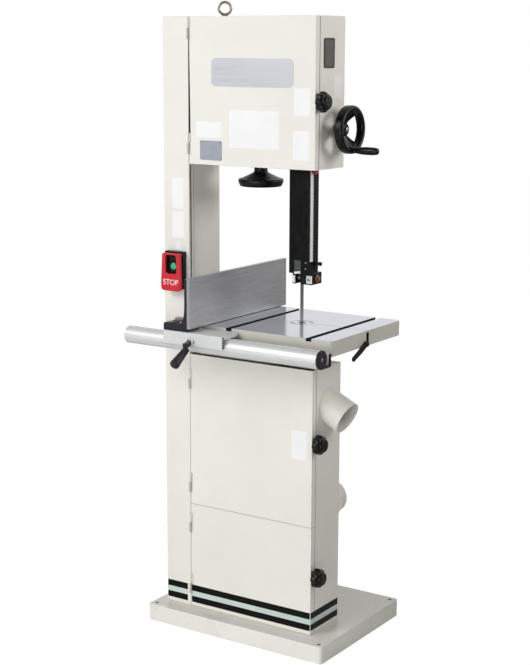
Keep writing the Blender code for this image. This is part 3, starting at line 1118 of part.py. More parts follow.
def make_paddle(red):
    """Hinged stop paddle with the opening that leaves the start button free."""
    back = SWITCH_FACE - PADDLE_GAP
    top = SWITCH_BOTTOM + SWITCH_HEIGHT - 0.004
    centre = (SWITCH_X, top - PADDLE_HEIGHT / 2)
    pivot = (SWITCH_X, PADDLE_PIVOT_Y, PADDLE_PIVOT_Z)
    paddle = piece("switch_paddle", prism(rounded(PADDLE_WIDTH, PADDLE_HEIGHT, 0.009, centre), "Y",
                                          back - PADDLE_THICKNESS, back), red, pivot)
    opening = rounded(0.040, 0.048, 0.014, (button_place()[0], button_place()[1] + 0.004))
    cut(paddle, prism(opening, "Y", back - 0.020, back + OVERLAP))
    inner = PADDLE_WIDTH / 2 - 0.014 - 0.002
    for side in (-1, 1):
        lug = SWITCH_X + side * (inner - 0.0025)
        weld(paddle, box((lug - 0.002, back - OVERLAP, PADDLE_PIVOT_Z - PADDLE_LUG),
                         (lug + 0.002, PADDLE_PIVOT_Y + PADDLE_LUG, PADDLE_PIVOT_Z + PADDLE_LUG)))


def remove_scene_objects():
    for item in list(bpy.data.objects):
        bpy.data.objects.remove(item, do_unlink=True)


def main():
    remove_scene_objects()
    finish = make_materials()
    paint, iron, steel = finish["paint"], finish["iron"], finish["steel"]
    aluminium, black, rubber = finish["aluminium"], finish["black"], finish["rubber"]
    make_base(paint)
    make_column(paint)
    make_upper_housing(paint)
    make_lower_cabinet(paint)
    hinge_pins(steel)
    make_doors(paint, finish["smoke"])
    make_door_knobs(black)
    make_side_window(finish["smoke"])
    make_eye_bolt(steel)
    make_dust_ports(paint)
    make_wheel("upper_wheel", UPPER_WHEEL_Z, AXLE_RADIUS + GAP, iron)
    make_wheel("lower_wheel", LOWER_WHEEL_Z, SHAFT_RADIUS + GAP, iron)
    make_tire("upper_tire", UPPER_WHEEL_Z, rubber)
    make_tire("lower_tire", LOWER_WHEEL_Z, rubber)
    make_blade(steel)
    make_lower_drive(steel, iron, rubber)
    make_motor(paint)
    make_tension(iron, steel, black)
    make_guide_post(steel, black)
    make_post_bracket(iron)
    make_guide_handwheel(black)
    make_upper_guides(black, steel)
    make_lower_guide_block(black)
    make_height_pointer(finish["red"])
    make_table(iron)
    make_table_insert(iron)
    make_trunnion(iron)
    make_table_lock_lever(black)
    make_rail(aluminium, black)
    make_fence(aluminium, black)
    make_switch(black, finish["red"], finish["green"])


main()
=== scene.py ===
"""Looks of the band saw: fine detail, materials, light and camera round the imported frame, in metres."""

import json
import math

import bmesh
import bpy
from mathutils import Matrix, Vector


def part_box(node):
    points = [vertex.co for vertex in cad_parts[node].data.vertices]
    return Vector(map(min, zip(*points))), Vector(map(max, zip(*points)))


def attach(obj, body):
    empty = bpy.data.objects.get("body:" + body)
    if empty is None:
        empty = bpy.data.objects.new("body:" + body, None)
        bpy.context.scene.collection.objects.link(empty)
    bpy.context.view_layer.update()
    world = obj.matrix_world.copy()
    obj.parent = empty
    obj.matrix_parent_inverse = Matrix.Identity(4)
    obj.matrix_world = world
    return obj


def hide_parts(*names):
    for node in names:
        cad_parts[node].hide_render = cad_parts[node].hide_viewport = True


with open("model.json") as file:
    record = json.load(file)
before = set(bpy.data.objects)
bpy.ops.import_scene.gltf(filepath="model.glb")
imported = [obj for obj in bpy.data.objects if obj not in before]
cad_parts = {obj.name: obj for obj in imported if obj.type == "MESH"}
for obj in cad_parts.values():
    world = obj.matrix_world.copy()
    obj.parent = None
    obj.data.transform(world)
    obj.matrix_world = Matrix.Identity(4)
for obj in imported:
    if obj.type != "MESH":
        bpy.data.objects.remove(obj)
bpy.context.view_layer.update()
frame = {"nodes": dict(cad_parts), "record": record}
record = frame["record"]
BODY_OF = {node: body for body, members in record["behaviour"]["bodies"].items() for node in members}
SLOT_OF = {row["node"]: row["material_slot"] for row in record["subparts"]}


def low(node):
    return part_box(node)[0]


def high(node):
    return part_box(node)[1]


def middle(node):
    first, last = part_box(node)
    return (first + last) / 2


def across(node, axis):
    """Centre of a node's box in the plane square to an axis."""
    first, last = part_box(node)
    return tuple((first[k] + last[k]) / 2 for k in range(3) if "XYZ"[k] != axis)


FRONT = low("column").y
BACK = high("column").y
LEFT = low("column").x
INNER = high("column").x
RIGHT = high("upper_housing").x
HEAD_LOW = low("upper_housing").z
BODY_TOP = high("upper_housing").z
CABINET_TOP = high("lower_cabinet").z
TABLE_TOP = high("table").z
DOOR_LEFT = INNER + 0.0012
DOOR_BACK = high("upper_door").y
TAU = 2 * math.pi
SUNK = 0.0001
STICKER = 0.00025


# ---- materials
def linear(red, green, blue):
    """Linear colour of an 8-bit display colour."""
    channels = [value / 255 for value in (red, green, blue)]
    return (*[c / 12.92 if c <= 0.04045 else ((c + 0.055) / 1.055) ** 2.4 for c in channels], 1.0)


def add_node(tree, kind, *links, **values):
    """Shader node. A link is (socket, source or number); a value is an attribute or a named socket's."""
    node = tree.nodes.new("ShaderNode" + kind)
    for key, value in values.items():
        if hasattr(node, key):
            setattr(node, key, value)
        else:
            node.inputs[key.replace("_", " ")].default_value = value
    for socket, source in links:
        if isinstance(source, (int, float)):
            node.inputs[socket].default_value = source
        else:
            tree.links.new(source, node.inputs[socket])
    return node


class Finish:
    """A Principled material with helpers for its procedural detail."""

    def __init__(self, name, colour, roughness, metallic=0.0, **sockets):
        self.material = bpy.data.materials.new(name)
        self.material.use_nodes = True
        self.tree = self.material.node_tree
        self.shader = self.tree.nodes["Principled BSDF"]
        self.colour = linear(*colour)
        self.shader.inputs["Base Color"].default_value = self.colour
        self.shader.inputs["Roughness"].default_value = roughness
        self.shader.inputs["Metallic"].default_value = metallic
        for label, value in sockets.items():
            self.shader.inputs[label.replace("_", " ")].default_value = value
        self.coords = self.add("TexCoord")

    def add(self, kind, *links, **values):
        return add_node(self.tree, kind, *links, **values)

    def noise(self, scale, stretch=(1, 1, 1), detail=2.0):
        mapping = self.add("Mapping", ("Vector", self.coords.outputs["Object"]), Scale=stretch)
        return self.add("TexNoise", ("Vector", mapping.outputs[0]), Scale=scale, Detail=detail,
                        Roughness=0.5).outputs[0]

    def ramp(self, source, *stops):
        node = self.add("ValToRGB", ("Fac", source))
        for element, (place_at, value) in zip(node.color_ramp.elements, stops):
            element.position = place_at
            element.color = value if isinstance(value, tuple) else (value, value, value, 1.0)
        return node.outputs[0]

    def shade(self, factor):
        """The base colour, lighter or darker."""
        return tuple(min(1.0, c * factor) for c in self.colour[:3]) + (1.0,)

    def set(self, label, source):
        self.tree.links.new(source, self.shader.inputs[label])
        return self

    def vary(self, scale, amount, stretch=(1, 1, 1), detail=3.0):
        """Colour drifts a little lighter and darker over the surface."""
        stops = (0.3, self.shade(1 - amount)), (0.7, self.shade(1 + amount * 0.6))
        return self.set("Base Color", self.ramp(self.noise(scale, stretch, detail), *stops))

    def uneven(self, scale, least, most, stretch=(1, 1, 1), detail=3.0):
        """Roughness drifts between two values."""
        source = self.ramp(self.noise(scale, stretch, detail), (0.3, least), (0.7, most))
        return self.set("Roughness", source)

    def bump(self, *layers):
        """Each layer is (scale, height in metres) and may have a stretch."""
        normal = None
        for scale, height, *stretch in layers:
            node = self.add("Bump", ("Height", self.noise(scale, *stretch)), Strength=1.0, Distance=height)
            if normal:
                self.tree.links.new(normal, node.inputs["Normal"])
            normal = node.outputs[0]
        return self.set("Normal", normal)


def moulded(name, colour, roughness, grain=0.00004, drift=0.1, **sockets):
    finish = Finish(name, colour, roughness, **sockets).vary(18, drift)
    return finish.uneven(60, roughness - 0.06, roughness + 0.08).bump((900, grain)).material


def painted(name, colour, roughness=0.4, peel=0.00004):
    """Powder coat: faint orange peel, slight unevenness, rare fine specks."""
    finish = Finish(name, colour, roughness)
    base = finish.ramp(finish.noise(4.0, detail=4.0), (0.3, finish.shade(0.955)), (0.62, finish.colour))
    specks = finish.ramp(finish.noise(260.0, detail=1.0), (0.2, 0.8), (0.27, 1.0))
    mix = finish.add("Mix", ("A", base), ("B", specks), data_type="RGBA", blend_type="MULTIPLY", Factor=0.35)
    finish.set("Base Color", mix.outputs["Result"])
    return finish.uneven(9, roughness - 0.05, roughness + 0.06).bump((420, peel), (40, peel * 2)).material


def brushed(name, colour, roughness, along, metallic=1.0, depth=0.00003, spread=0.1):
    """Metal with fine lines along one axis."""
    stretch = tuple(0.02 if axis == along else 1.0 for axis in "XYZ")
    finish = Finish(name, colour, roughness, metallic)
    finish.vary(500, spread, stretch).uneven(350, roughness - 0.07, roughness + 0.09, stretch)
    return finish.bump((700, depth, stretch), (9, depth * 0.8)).material


def cast(name, colour, roughness=0.55, metallic=0.3):
    finish = Finish(name, colour, roughness, metallic).vary(30, 0.15)
    finish.uneven(45, roughness - 0.08, roughness + 0.1)
    return finish.bump((320, 0.00018), (1200, 0.00006)).material


def scale_material():
    """White strip with a generic rule of fine marks every 5 and 10 mm."""
    finish = Finish("scale_strip_white", (236, 238, 238), 0.45)
    parts = finish.add("SeparateXYZ", ("Vector", finish.coords.outputs["Object"]))
    strip_back = low("blade_guard").y + 0.0265

    def marks(pitch, width, length):
        step = finish.add("Math", (0, parts.outputs["Z"]), (1, pitch / 2), operation="PINGPONG")
        near = finish.add("Math", (0, step.outputs[0]), (1, width / 2), operation="LESS_THAN")
        side = finish.add("Math", (0, parts.outputs["Y"]), (1, strip_back - length), operation="GREATER_THAN")
        return finish.add("Math", (0, near.outputs[0]), (1, side.outputs[0]), operation="MULTIPLY").outputs[0]

    total = finish.add("Math", (0, marks(0.005, 0.0009, 0.005)), (1, marks(0.01, 0.0012, 0.009)),
                       operation="MAXIMUM")
    inked = finish.ramp(total.outputs[0], (0.0, finish.colour), (1.0, linear(70, 70, 72)))
    return finish.set("Base Color", inked).material


PAINT = painted("ivory_powder_coat", (239, 237, 229))
SKIRT = painted("table_side_paint", (204, 202, 192), 0.52, 0.0001)
GROUND = brushed("ground_cast_iron", (192, 193, 205), 0.15, "X", spread=0.05, depth=0.000006)
IRON = cast("grey_cast_iron", (92, 93, 94), 0.5, 0.5)
DARK_IRON = cast("black_cast", (30, 29, 31), 0.48, 0.2)
STEEL = brushed("machined_steel", (176, 176, 178), 0.28, "X")
SPUN = brushed("turned_steel", (190, 190, 190), 0.25, "Z")
BRIGHT = brushed("bright_aluminium", (226, 228, 228), 0.46, "X", metallic=0.45, spread=0.02, depth=0.000006)
SATIN = brushed("satin_aluminium", (184, 185, 188), 0.34, "Y", metallic=0.6, spread=0.14)
BLACK = moulded("black_plastic", (18, 18, 17), 0.38, Specular_IOR_Level=0.25)
GLOSS_BLACK = moulded("black_phenolic", (8, 8, 8), 0.3, 0.00001, Specular_IOR_Level=0.25)
PLUM = moulded("dark_plum_casting", (38, 31, 42), 0.42, 0.00006, Specular_IOR_Level=0.35)
ENAMEL = moulded("black_enamel", (10, 13, 10), 0.33, 0.00002, Specular_IOR_Level=0.18)
RUBBER = moulded("rubber", (30, 29, 28), 0.75, 0.0001)
BELT = moulded("belt_rubber", (36, 35, 34), 0.68, 0.00012)
RED = moulded("red_plastic", (214, 38, 52), 0.34, 0.00002, Coat_Weight=0.2)
GREEN = moulded("green_plastic", (52, 190, 142), 0.3, 0.00002, Coat_Weight=0.3)
LABEL = moulded("label_white", (247, 247, 248), 0.36, 0.00001, drift=0.015)
STRIPE_BLACK = moulded("stripe_black", (8, 9, 7), 0.4, 0.00001, Specular_IOR_Level=0.15)
STRIPE_GREEN = moulded("stripe_pale_green", (204, 220, 212), 0.38, 0.00001)
# Dark colour for strips that stand for the shadow in door gaps and seams: painted shade.
SEAM_SHADE = moulded("seam_painted_shade", (58, 54, 48), 0.7)
# Grey for fillers that stand for the shade in the gaps beside the hinges: painted shade.
GAP_SHADE_GREY = moulded("gap_grey_painted_shade", (132, 128, 116), 0.7)
COPPER = brushed("copper", (176, 120, 96), 0.34, "X")
PLATE = brushed("plate_metal", (206, 207, 213), 0.4, "X", metallic=0.5, spread=0.05, depth=0.00001)
PAINT_BASE = painted("ivory_base_coat", (239, 237, 229), 0.3, 0.0000005)
# Near-black for the insides of slots, holes and gaps, standing for the shade in them: painted shade.
PAINTED_PIT_SHADE = moulded("slot_shadow_iron", (26, 23, 27), 0.6, Specular_IOR_Level=0.2)
GREY_PANE = moulded("grey_pane", (78, 84, 84), 0.2, 0.00001)
BLADE = brushed("blade_steel", (150, 150, 152), 0.3, "Z", spread=0.12)
ZINC = brushed("zinc_plated", (168, 156, 148), 0.34, "Z", spread=0.12)
HINGE = brushed("hinge_steel", (206, 203, 190), 0.45, "Z", metallic=0.3, spread=0.05)
PANE = moulded("smoked_pane", (176, 180, 192), 0.12, 0.000003, Alpha=0.86, Specular_IOR_Level=0.6)
DARK_PANE = moulded("dark_pane", (50, 54, 48), 0.14, 0.000003, Specular_IOR_Level=0.6)
SCALE = scale_material()


# ---- mesh tools
def to_world(axis, across_it, along):
    first, second = across_it
    return Vector({"X": (along, first, second), "Y": (first, along, second), "Z": (first, second, along)}[axis])


def circle(centre, radius, start=0.0, end=360.0, steps=24):
    angles = [math.radians(start + (end - start) * step / steps) for step in range(steps + 1)]
    return [(centre[0] + radius * math.cos(a), centre[1] + radius * math.sin(a)) for a in angles]


def rounded(width, height, radius, centre=(0.0, 0.0), steps=6):
    points = []
    for side_x, side_y, start in ((1, 1, 0), (-1, 1, 90), (-1, -1, 180), (1, -1, 270)):
        corner = (centre[0] + side_x * (width / 2 - radius), centre[1] + side_y * (height / 2 - radius))
        points += circle(corner, radius, start, start + 90, steps)
    return points


def fillet(points, radius, closed=False, steps=4):
    """Polyline with its corners rounded; radius may be one value or one for each point."""
    result = []
    count = len(points)
    for index, point in enumerate(points):
        ends = not closed and index in (0, count - 1)
        size = radius[index] if isinstance(radius, (list, tuple)) else radius
        if ends or size <= 0:
            result.append(tuple(point))
            continue
        here, before, after = (Vector(points[i % count]) for i in (index, index - 1, index + 1))
        start = here + (before - here).normalized() * min(size, (before - here).length * 0.45)
        end = here + (after - here).normalized() * min(size, (after - here).length * 0.45)
        for step in range(steps + 1):
            t = step / steps
            result.append(tuple((1 - t) ** 2 * start + 2 * t * (1 - t) * here + t * t * end))
    return result


def moved(profile, along):
    """A profile's (radius, height) points, moved along its axis."""
    return [(radius, along + height) for radius, height in profile]


def finish_shape(shape):
    bmesh.ops.recalc_face_normals(shape, faces=shape.faces)
    return shape


def prism(outline, axis, start, end):
    shape = bmesh.new()
    near = [shape.verts.new(to_world(axis, point, start)) for point in outline]
    far = [shape.verts.new(to_world(axis, point, end)) for point in outline]
    shape.faces.new(near)
    shape.faces.new(far[::-1])
    for i in range(len(outline)):
        j = (i + 1) % len(outline)
        shape.faces.new((near[i], far[i], far[j], near[j]))
    return finish_shape(shape)


def block(first, last):
    outline = [(first[0], first[1]), (last[0], first[1]), (last[0], last[1]), (first[0], last[1])]
    return prism(outline, "Z", first[2], last[2])


def skinned(shape, rows, closed):
    """Faces between rings of vertices, in a loop or with both ends capped."""
    for row, following in zip(rows, rows[1:] + (rows[:1] if closed else [])):
        for i in range(len(row)):
            j = (i + 1) % len(row)
            shape.faces.new((row[i], row[j], following[j], following[i]))
    if not closed:
        shape.faces.new(rows[0])
        shape.faces.new(rows[-1][::-1])
    return finish_shape(shape)


def framed(outer, inner, axis, start, end):
    """Plate with one opening, between two outlines of as many points."""
    shape = bmesh.new()
    rows = [[shape.verts.new(to_world(axis, point, along)) for point in outline]
            for outline, along in ((outer, start), (outer, end), (inner, end), (inner, start))]
    return skinned(shape, rows, True)


def washer(centre, outer, inner, axis, start, end, steps=40):
    outlines = [circle(centre, radius, steps=steps)[:-1] for radius in (outer, inner)]
    return framed(*outlines, axis, start, end)


def lathe(profile, axis, centre, sides=72, closed=False, radius_at=None):
    """Surface turned round an axis; radius_at(angle, radius) may shape its rings."""
    shape = bmesh.new()
    rows = []
    for radius, along in profile:
        if radius < 1e-6:
            rows.append([shape.verts.new(to_world(axis, centre, along))])
            continue
        row = []
        for step in range(sides):
            angle = TAU * step / sides
            reach = radius_at(angle, radius) if radius_at else radius
            point = (centre[0] + reach * math.cos(angle), centre[1] + reach * math.sin(angle))
            row.append(shape.verts.new(to_world(axis, point, along)))
        rows.append(row)
    for first, second in zip(rows, rows[1:] + (rows[:1] if closed else [])):
        if len(first) == len(second) == 1:
            continue
        for i in range(sides):
            j = (i + 1) % sides
            corners = [row[k % len(row)] for row, k in ((first, i), (first, j), (second, j), (second, i))]
            shape.faces.new(list(dict.fromkeys(corners)))
    return finish_shape(shape)


def bar(axis, centre, radius, start, end, sides=32, soft=0.0, radius_at=None):
    """Plain round bar whose rims may be softened."""
    profile = [(0.0, start), (radius, start), (radius, end), (0.0, end)]
    return lathe(fillet(profile, soft), axis, centre, sides, radius_at=radius_at)


def merged(*shapes):
    """One shape that holds several separate ones."""
    whole = shapes[0]
    for other in shapes[1:]:
        mesh = bpy.data.meshes.new("part")
        other.to_mesh(mesh)
        other.free()
        whole.from_mesh(mesh)
        bpy.data.meshes.remove(mesh)
    return whole


def turned_by(shape, matrix):
    bmesh.ops.transform(shape, matrix=matrix, verts=shape.verts)
    return shape


def place(name, shape, material, body, replaces=(), slot=None, bevel=0.0, segments=2, angle=35.0, flat=False):
    """The mesh as a named piece that rides on a body."""
    mesh = bpy.data.meshes.new(name)
    shape.to_mesh(mesh)
    shape.free()
    mesh.shade_smooth()
    mesh.set_sharp_from_angle(angle=math.radians(angle))
    item = bpy.data.objects.new(name, mesh)
    bpy.context.scene.collection.objects.link(item)
    for entry in material if isinstance(material, list) else [material]:
        mesh.materials.append(entry)
    if bevel:
        modifier = item.modifiers.new("Rounded edges", "BEVEL")
        modifier.width = bevel
        modifier.segments = segments
        modifier.limit_method = "ANGLE"
        modifier.angle_limit = math.radians(angle)
        modifier.harden_normals = True
    if flat:
        item.modifiers.new("Flat faces stay flat", "WEIGHTED_NORMAL").keep_sharp = True
    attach(item, body)
    if replaces:
        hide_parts(*replaces)
        slot = slot or SLOT_OF[replaces[0]]


def node_shape(node):
    """The CAD node's mesh, welded and with its flat triangles joined."""
    shape = bmesh.new()
    shape.from_mesh(frame["nodes"][node].data)
    bmesh.ops.remove_doubles(shape, verts=shape.verts, dist=1e-5)
    bmesh.ops.dissolve_limit(shape, angle_limit=math.radians(0.6), verts=shape.verts, edges=shape.edges)
    for face in shape.faces:
        face.material_index = 0
    return shape


def bend_edges(shape, first, last, width):
    """Rounds the edges that run along the corners of the given box."""
    def on_side(edge, k):
        return any(all(abs(vertex.co[k] - limit[k]) < 2e-4 for vertex in edge.verts) for limit in (first, last))

    chosen = [edge for edge in shape.edges if sum(on_side(edge, k) for k in range(3)) >= 2
              and len(edge.link_faces) == 2 and edge.calc_face_angle(0.0) > 0.7]
    bmesh.ops.bevel(shape, geom=chosen, offset=width, segments=4, profile=0.5, affect="EDGES", clamp_overlap=True)


def refined(node, material, bevel=0.0006, segments=2, bend=None, angle=35.0, paint=None):
    """A CAD node's shape with rounded edges and a finish."""
    shape = node_shape(node)
    if bend:
        bend_edges(shape, *bend)
    if paint:
        for face in shape.faces:
            face.material_index = paint(face)
    place(node + "_finished", shape, material, BODY_OF[node], (node,), None, bevel, segments, angle,
          bend is not None)


def screw(name, centre, axis, sign, radius, height, material, body):
    """Cap screw head with a hexagon socket, standing on a face."""
    socket = radius * 0.5
    profile = [*fillet([(radius, 0.0), (radius, height), (socket, height)], radius * 0.25),
               (socket, height * 0.35), (0, height * 0.35)]

    def hexagonal(angle, reach):
        if reach > socket + 1e-6:
            return reach
        turn = (angle + TAU / 12) % (TAU / 6) - TAU / 12
        return reach * math.cos(TAU / 12) / math.cos(turn)

    shape = lathe([(r, a * sign) for r, a in profile], axis, (0.0, 0.0), 36, radius_at=hexagonal)
    place(name, turned_by(shape, Matrix.Translation(centre)), material, body)


def bolt_circle(name, centre, y, reach, radius, height):
    """Four screws that face backwards, round an axis along Y."""
    for number in range(4):
        angle = TAU * (number + 0.5) / 4
        spot = (centre[0] + reach * math.cos(angle), y, centre[1] + reach * math.sin(angle))
        screw(f"{name}_{number}", spot, "Y", 1, radius, height, STEEL, "frame")


# ---- sheet-steel body
def sheet_body():
    for node, finish in (("base", PAINT_BASE), ("column", PAINT)):
        refined(node, finish, 0.0005, bend=(*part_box(node), 0.003))
    for node in ("upper_housing", "lower_cabinet"):
        refined(node, PAINT, 0.0004, bend=(*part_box(node), 0.0018))
    for node in ("upper_door", "lower_door", "motor_door"):
        first = Vector((DOOR_LEFT, FRONT, low(node).z))
        last = Vector((RIGHT, DOOR_BACK, high(node).z))
        refined(node, PAINT, 0.0004, bend=(first, last, 0.0016))


def door_seams():
    """Painted shade: dark strips that stand for the shadow in the gaps where the doors meet the body and each other and
    in the seam down the column's inner face, grey fillers for the shaded gaps beside the hinges, and a raised painted
    lip beside the column seam.
    """
    for name, bottom, top in (("head", HEAD_LOW, BODY_TOP), ("cabinet", low("lower_cabinet").z, CABINET_TOP)):
        # Dark strip at the door's back edge, standing for the shadow in that gap: painted shade.
        gap_shade = block((RIGHT - 0.001, DOOR_BACK + 0.0001, bottom + 0.002),
                     (RIGHT + SUNK, DOOR_BACK + 0.0013, top - 0.002))
        place(name + "_door_seal", gap_shade, SEAM_SHADE, "frame", slot="rubber")
        # Grey filler near the front of the hinge gap, coloured as the shade in that gap: painted shade.
        gap_shade = block((INNER - 0.0002, FRONT + 0.0006, bottom + 0.001), (INNER + 0.001, FRONT + 0.018, top - 0.001))
        place(name + "_hinge_seal", gap_shade, GAP_SHADE_GREY, "frame", slot="rubber")
    # Dark strips in the gap between the doors and under the cabinet top, standing for the shadow there: painted shade.
    for name, inset, front, height, below, above in (
            ("between_doors", 0.003, 0.001, low("lower_door").z, 0.001, 0.0001),
            ("cabinet_top", 0.002, 0.0006, CABINET_TOP, 0.0002, 0.0004)):
        gap_shade = block((INNER + inset, FRONT + front, height - below), (RIGHT - 0.001, DOOR_BACK - 0.002, height + above))
        place(name + "_seal", gap_shade, SEAM_SHADE, "lower_door", slot="rubber")
    bottom, top = CABINET_TOP + 0.002, HEAD_LOW - 0.002
    # Dark strip down the column's inner face, standing for the shadow in the seam: painted shade.
    strip = block((INNER - 0.0012, FRONT + 0.007, bottom), (INNER + 0.0002, FRONT + 0.012, top))
    place("column_seam_shade", strip, SEAM_SHADE, "frame", slot="rubber")
    lip = block((INNER - 0.0002, FRONT + 0.013, bottom), (INNER + 0.002, FRONT + 0.018, top))
    place("column_seam_lip", lip, PAINT, "frame", slot="paint", bevel=0.0012, segments=3)


def label(name, body, x0, x1, z0, z1, material=LABEL, radius=0.002, thickness=STICKER):
    """Blank sticker or plate on a front face."""
    outline = rounded(x1 - x0, z1 - z0, radius, ((x0 + x1) / 2, (z0 + z1) / 2))
    place(name, prism(outline, "Y", FRONT - thickness, FRONT + SUNK), material, body)


def labels():
    for name, body, x0, x1, z0, z1, *look in (
            ("head_name_plate", "upper_door", 0.083, 0.3685, 0.231, 0.313, PLATE, 0.016, 0.001),
            ("head_wide_label", "upper_door", 0.1463, 0.3213, 0.054, 0.164),
            ("head_left_label", "upper_door", 0.0263, 0.1203, 0.081, 0.128),
            ("head_right_upper_label", "upper_door", 0.3703, 0.4253, 0.153, 0.231),
            ("head_right_lower_label", "upper_door", 0.3683, 0.4233, 0.027, 0.11),
            ("lower_door_label", "lower_door", 0.3703, 0.4243, -0.274, -0.187),
            ("column_upper_label", "frame", 0.031, 0.075, -0.137, -0.043),
            ("column_lower_label", "frame", 0.031, 0.075, -0.226, -0.146)):
        left = LEFT if body == "frame" else DOOR_LEFT
        height = CABINET_TOP if body == "lower_door" else HEAD_LOW
        label(name, body, left + x0, left + x1, height + z0, height + z1, *look)
    corners = [(LEFT + x, HEAD_LOW + z) for x, z in ((0.039, -0.263), (0.067, -0.263), (0.053, -0.238))]
    triangle = prism(fillet(corners, 0.002, True), "Y", FRONT - STICKER, FRONT + SUNK)
    place("column_triangle_label", triangle, LABEL, "frame")
    side = rounded(0.044, 0.065, 0.004, (FRONT + 0.125, HEAD_LOW + 0.2345))
    place("head_side_label", prism(side, "X", RIGHT - SUNK, RIGHT + STICKER), LABEL, "frame")


def stripes():
    """Black, pale green and black bands round the foot of the body."""
    bottom = 0.0675
    bands = ((0, 0.02, STRIPE_BLACK), (0.02, 0.037, STRIPE_GREEN), (0.037, 0.0575, STRIPE_BLACK))
    for number, (start, end, material) in enumerate(bands):
        z0, z1 = bottom + start, bottom + end
        for where, body, first, last in (
                ("column", "frame", (LEFT + 0.003, FRONT - 0.00022), (INNER - 0.0135, FRONT + SUNK)),
                ("door", "motor_door", (DOOR_LEFT + 0.0016, FRONT - 0.00022), (RIGHT - 0.0016, FRONT + SUNK)),
                ("door_edge", "motor_door", (RIGHT - SUNK, FRONT + 0.0014), (RIGHT + 0.0002, DOOR_BACK - 0.0004)),
                ("cabinet", "frame", (RIGHT - SUNK, DOOR_BACK + 0.0016), (RIGHT + 0.0002, BACK - 0.0018))):
            place(f"stripe_{where}_{number}", block((*first, z0), (*last, z1)), material, body)


def hinges():
    for node in [name for name in frame["nodes"] if name.endswith("_hinge_pin")]:
        refined(node, HINGE, 0.0005)


def windows():
    first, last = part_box("door_window")
    x, z = across("door_window", "Y")
    width, height = last.x - first.x, last.z - first.z
    face = first.y + 0.0004
    pane = prism(rounded(width - 0.002, height - 0.002, 0.0055, (x, z)), "Y", face, last.y)
    place("door_window_pane", pane, PANE, "upper_door", ("door_window",), "smoke", 0.0005)
    for number, (side_x, side_z) in enumerate(((-1, -1), (-1, 1), (1, -1), (1, 1))):
        spot = (x + side_x * (width / 2 - 0.0045), face, z + side_z * (height / 2 - 0.0045))
        screw(f"door_window_screw_{number}", spot, "Y", -1, 0.0022, 0.001, STEEL, "upper_door")
    first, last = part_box("side_window")
    centre = across("side_window", "X")
    width, height = last.y - first.y, last.z - first.z
    rim = framed(rounded(width, height, 0.006, centre), rounded(width - 0.007, height - 0.007, 0.004, centre),
                 "X", first.x, last.x)
    place("side_window_rim", rim, BLACK, "frame", (), "smoke", 0.0005)
    pane = prism(rounded(width - 0.0065, height - 0.0065, 0.004, centre), "X", first.x, last.x - 0.0007)
    place("side_window_pane", pane, DARK_PANE, "frame", ("side_window",), "smoke")


def eye_bolt():
    first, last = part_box("eye_bolt")
    centre = middle("eye_bolt")
    wire, radius = 0.004, 0.018
    section = circle((radius, centre.y), wire, steps=20)[:-1]
    ring = lathe(section, "Y", (centre.x, last.z - wire - radius), 72, True)
    pivot = Matrix.Translation(centre)
    turned_by(ring, pivot @ Matrix.Rotation(math.radians(33), 4, "Z") @ pivot.inverted())
    collar = [(0, first.z), (0.0055, first.z), *moved([(0.0055, 0.0004), (0.0105, 0.0004), (0.01, 0.003),
                                                       (0.006, 0.0052), (0, 0.006)], BODY_TOP)]
    shape = merged(ring, lathe(fillet(collar, 0.0012), "Z", (centre.x, centre.y), 48))
    place("eye_bolt_forged", shape, ZINC, "frame", ("eye_bolt",))


def dust_ports():
    for node in ("side_dust_port", "rear_dust_port"):
        refined(node, PAINT, 0.0005)
    bolt_circle("rear_port_screw", across("rear_dust_port", "Y"), low("rear_dust_port").y + 0.0015, 0.0555,
                0.0032, 0.0022)


# ---- knobs and handwheels
def door_knobs():
    """Lobed knobs on threaded studs."""
    lobes, lobe_depth = 8, 0.0032
    base = RIGHT + 0.006
    for node in ("upper_door_knob", "lower_door_knob", "motor_door_knob"):
        first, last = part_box(node)
        body = BODY_OF[node]
        centre = across(node, "X")
        radius = (last.z - first.z) / 2

        def lobed(angle, reach):
            if reach < radius * 0.72:
                return reach
            return reach - lobe_depth * (1 - math.cos(lobes * angle)) / 2 * min(1.0, (reach / radius) ** 2)

        profile = moved([(0, 0), (0.017, 0), (radius - 0.004, 0.001), (radius, 0.005), (radius, 0.017),
                         (radius - 0.0035, 0.0245), (0.0205, 0.0265)], base)
        profile += moved([(0.019, -0.0015), (0.015, -0.0005), (0, -0.001)], last.x)
        grip = lathe(fillet(profile, 0.0035), "X", centre, 128, radius_at=lobed)
        hub = bar("X", centre, 0.011, RIGHT + 0.0016, base + 0.002, 40, 0.0006)
        place(node + "_moulding", merged(grip, hub), GLOSS_BLACK, body, (node,), angle=50)
        thread = [(0, first.x), (0.0036, first.x), (0.004, first.x + 0.0006), (0.004, RIGHT + 0.0018),
                  (0, RIGHT + 0.0018)]
        place(node + "_stud", lathe(thread, "X", centre, 32), STEEL, body, slot="steel")
        cap = bar("X", centre, 0.0062, last.x - 0.0012, last.x - 0.0002, 40, 0.0004)
        place(node + "_cap", cap, BLACK, body, slot="black")


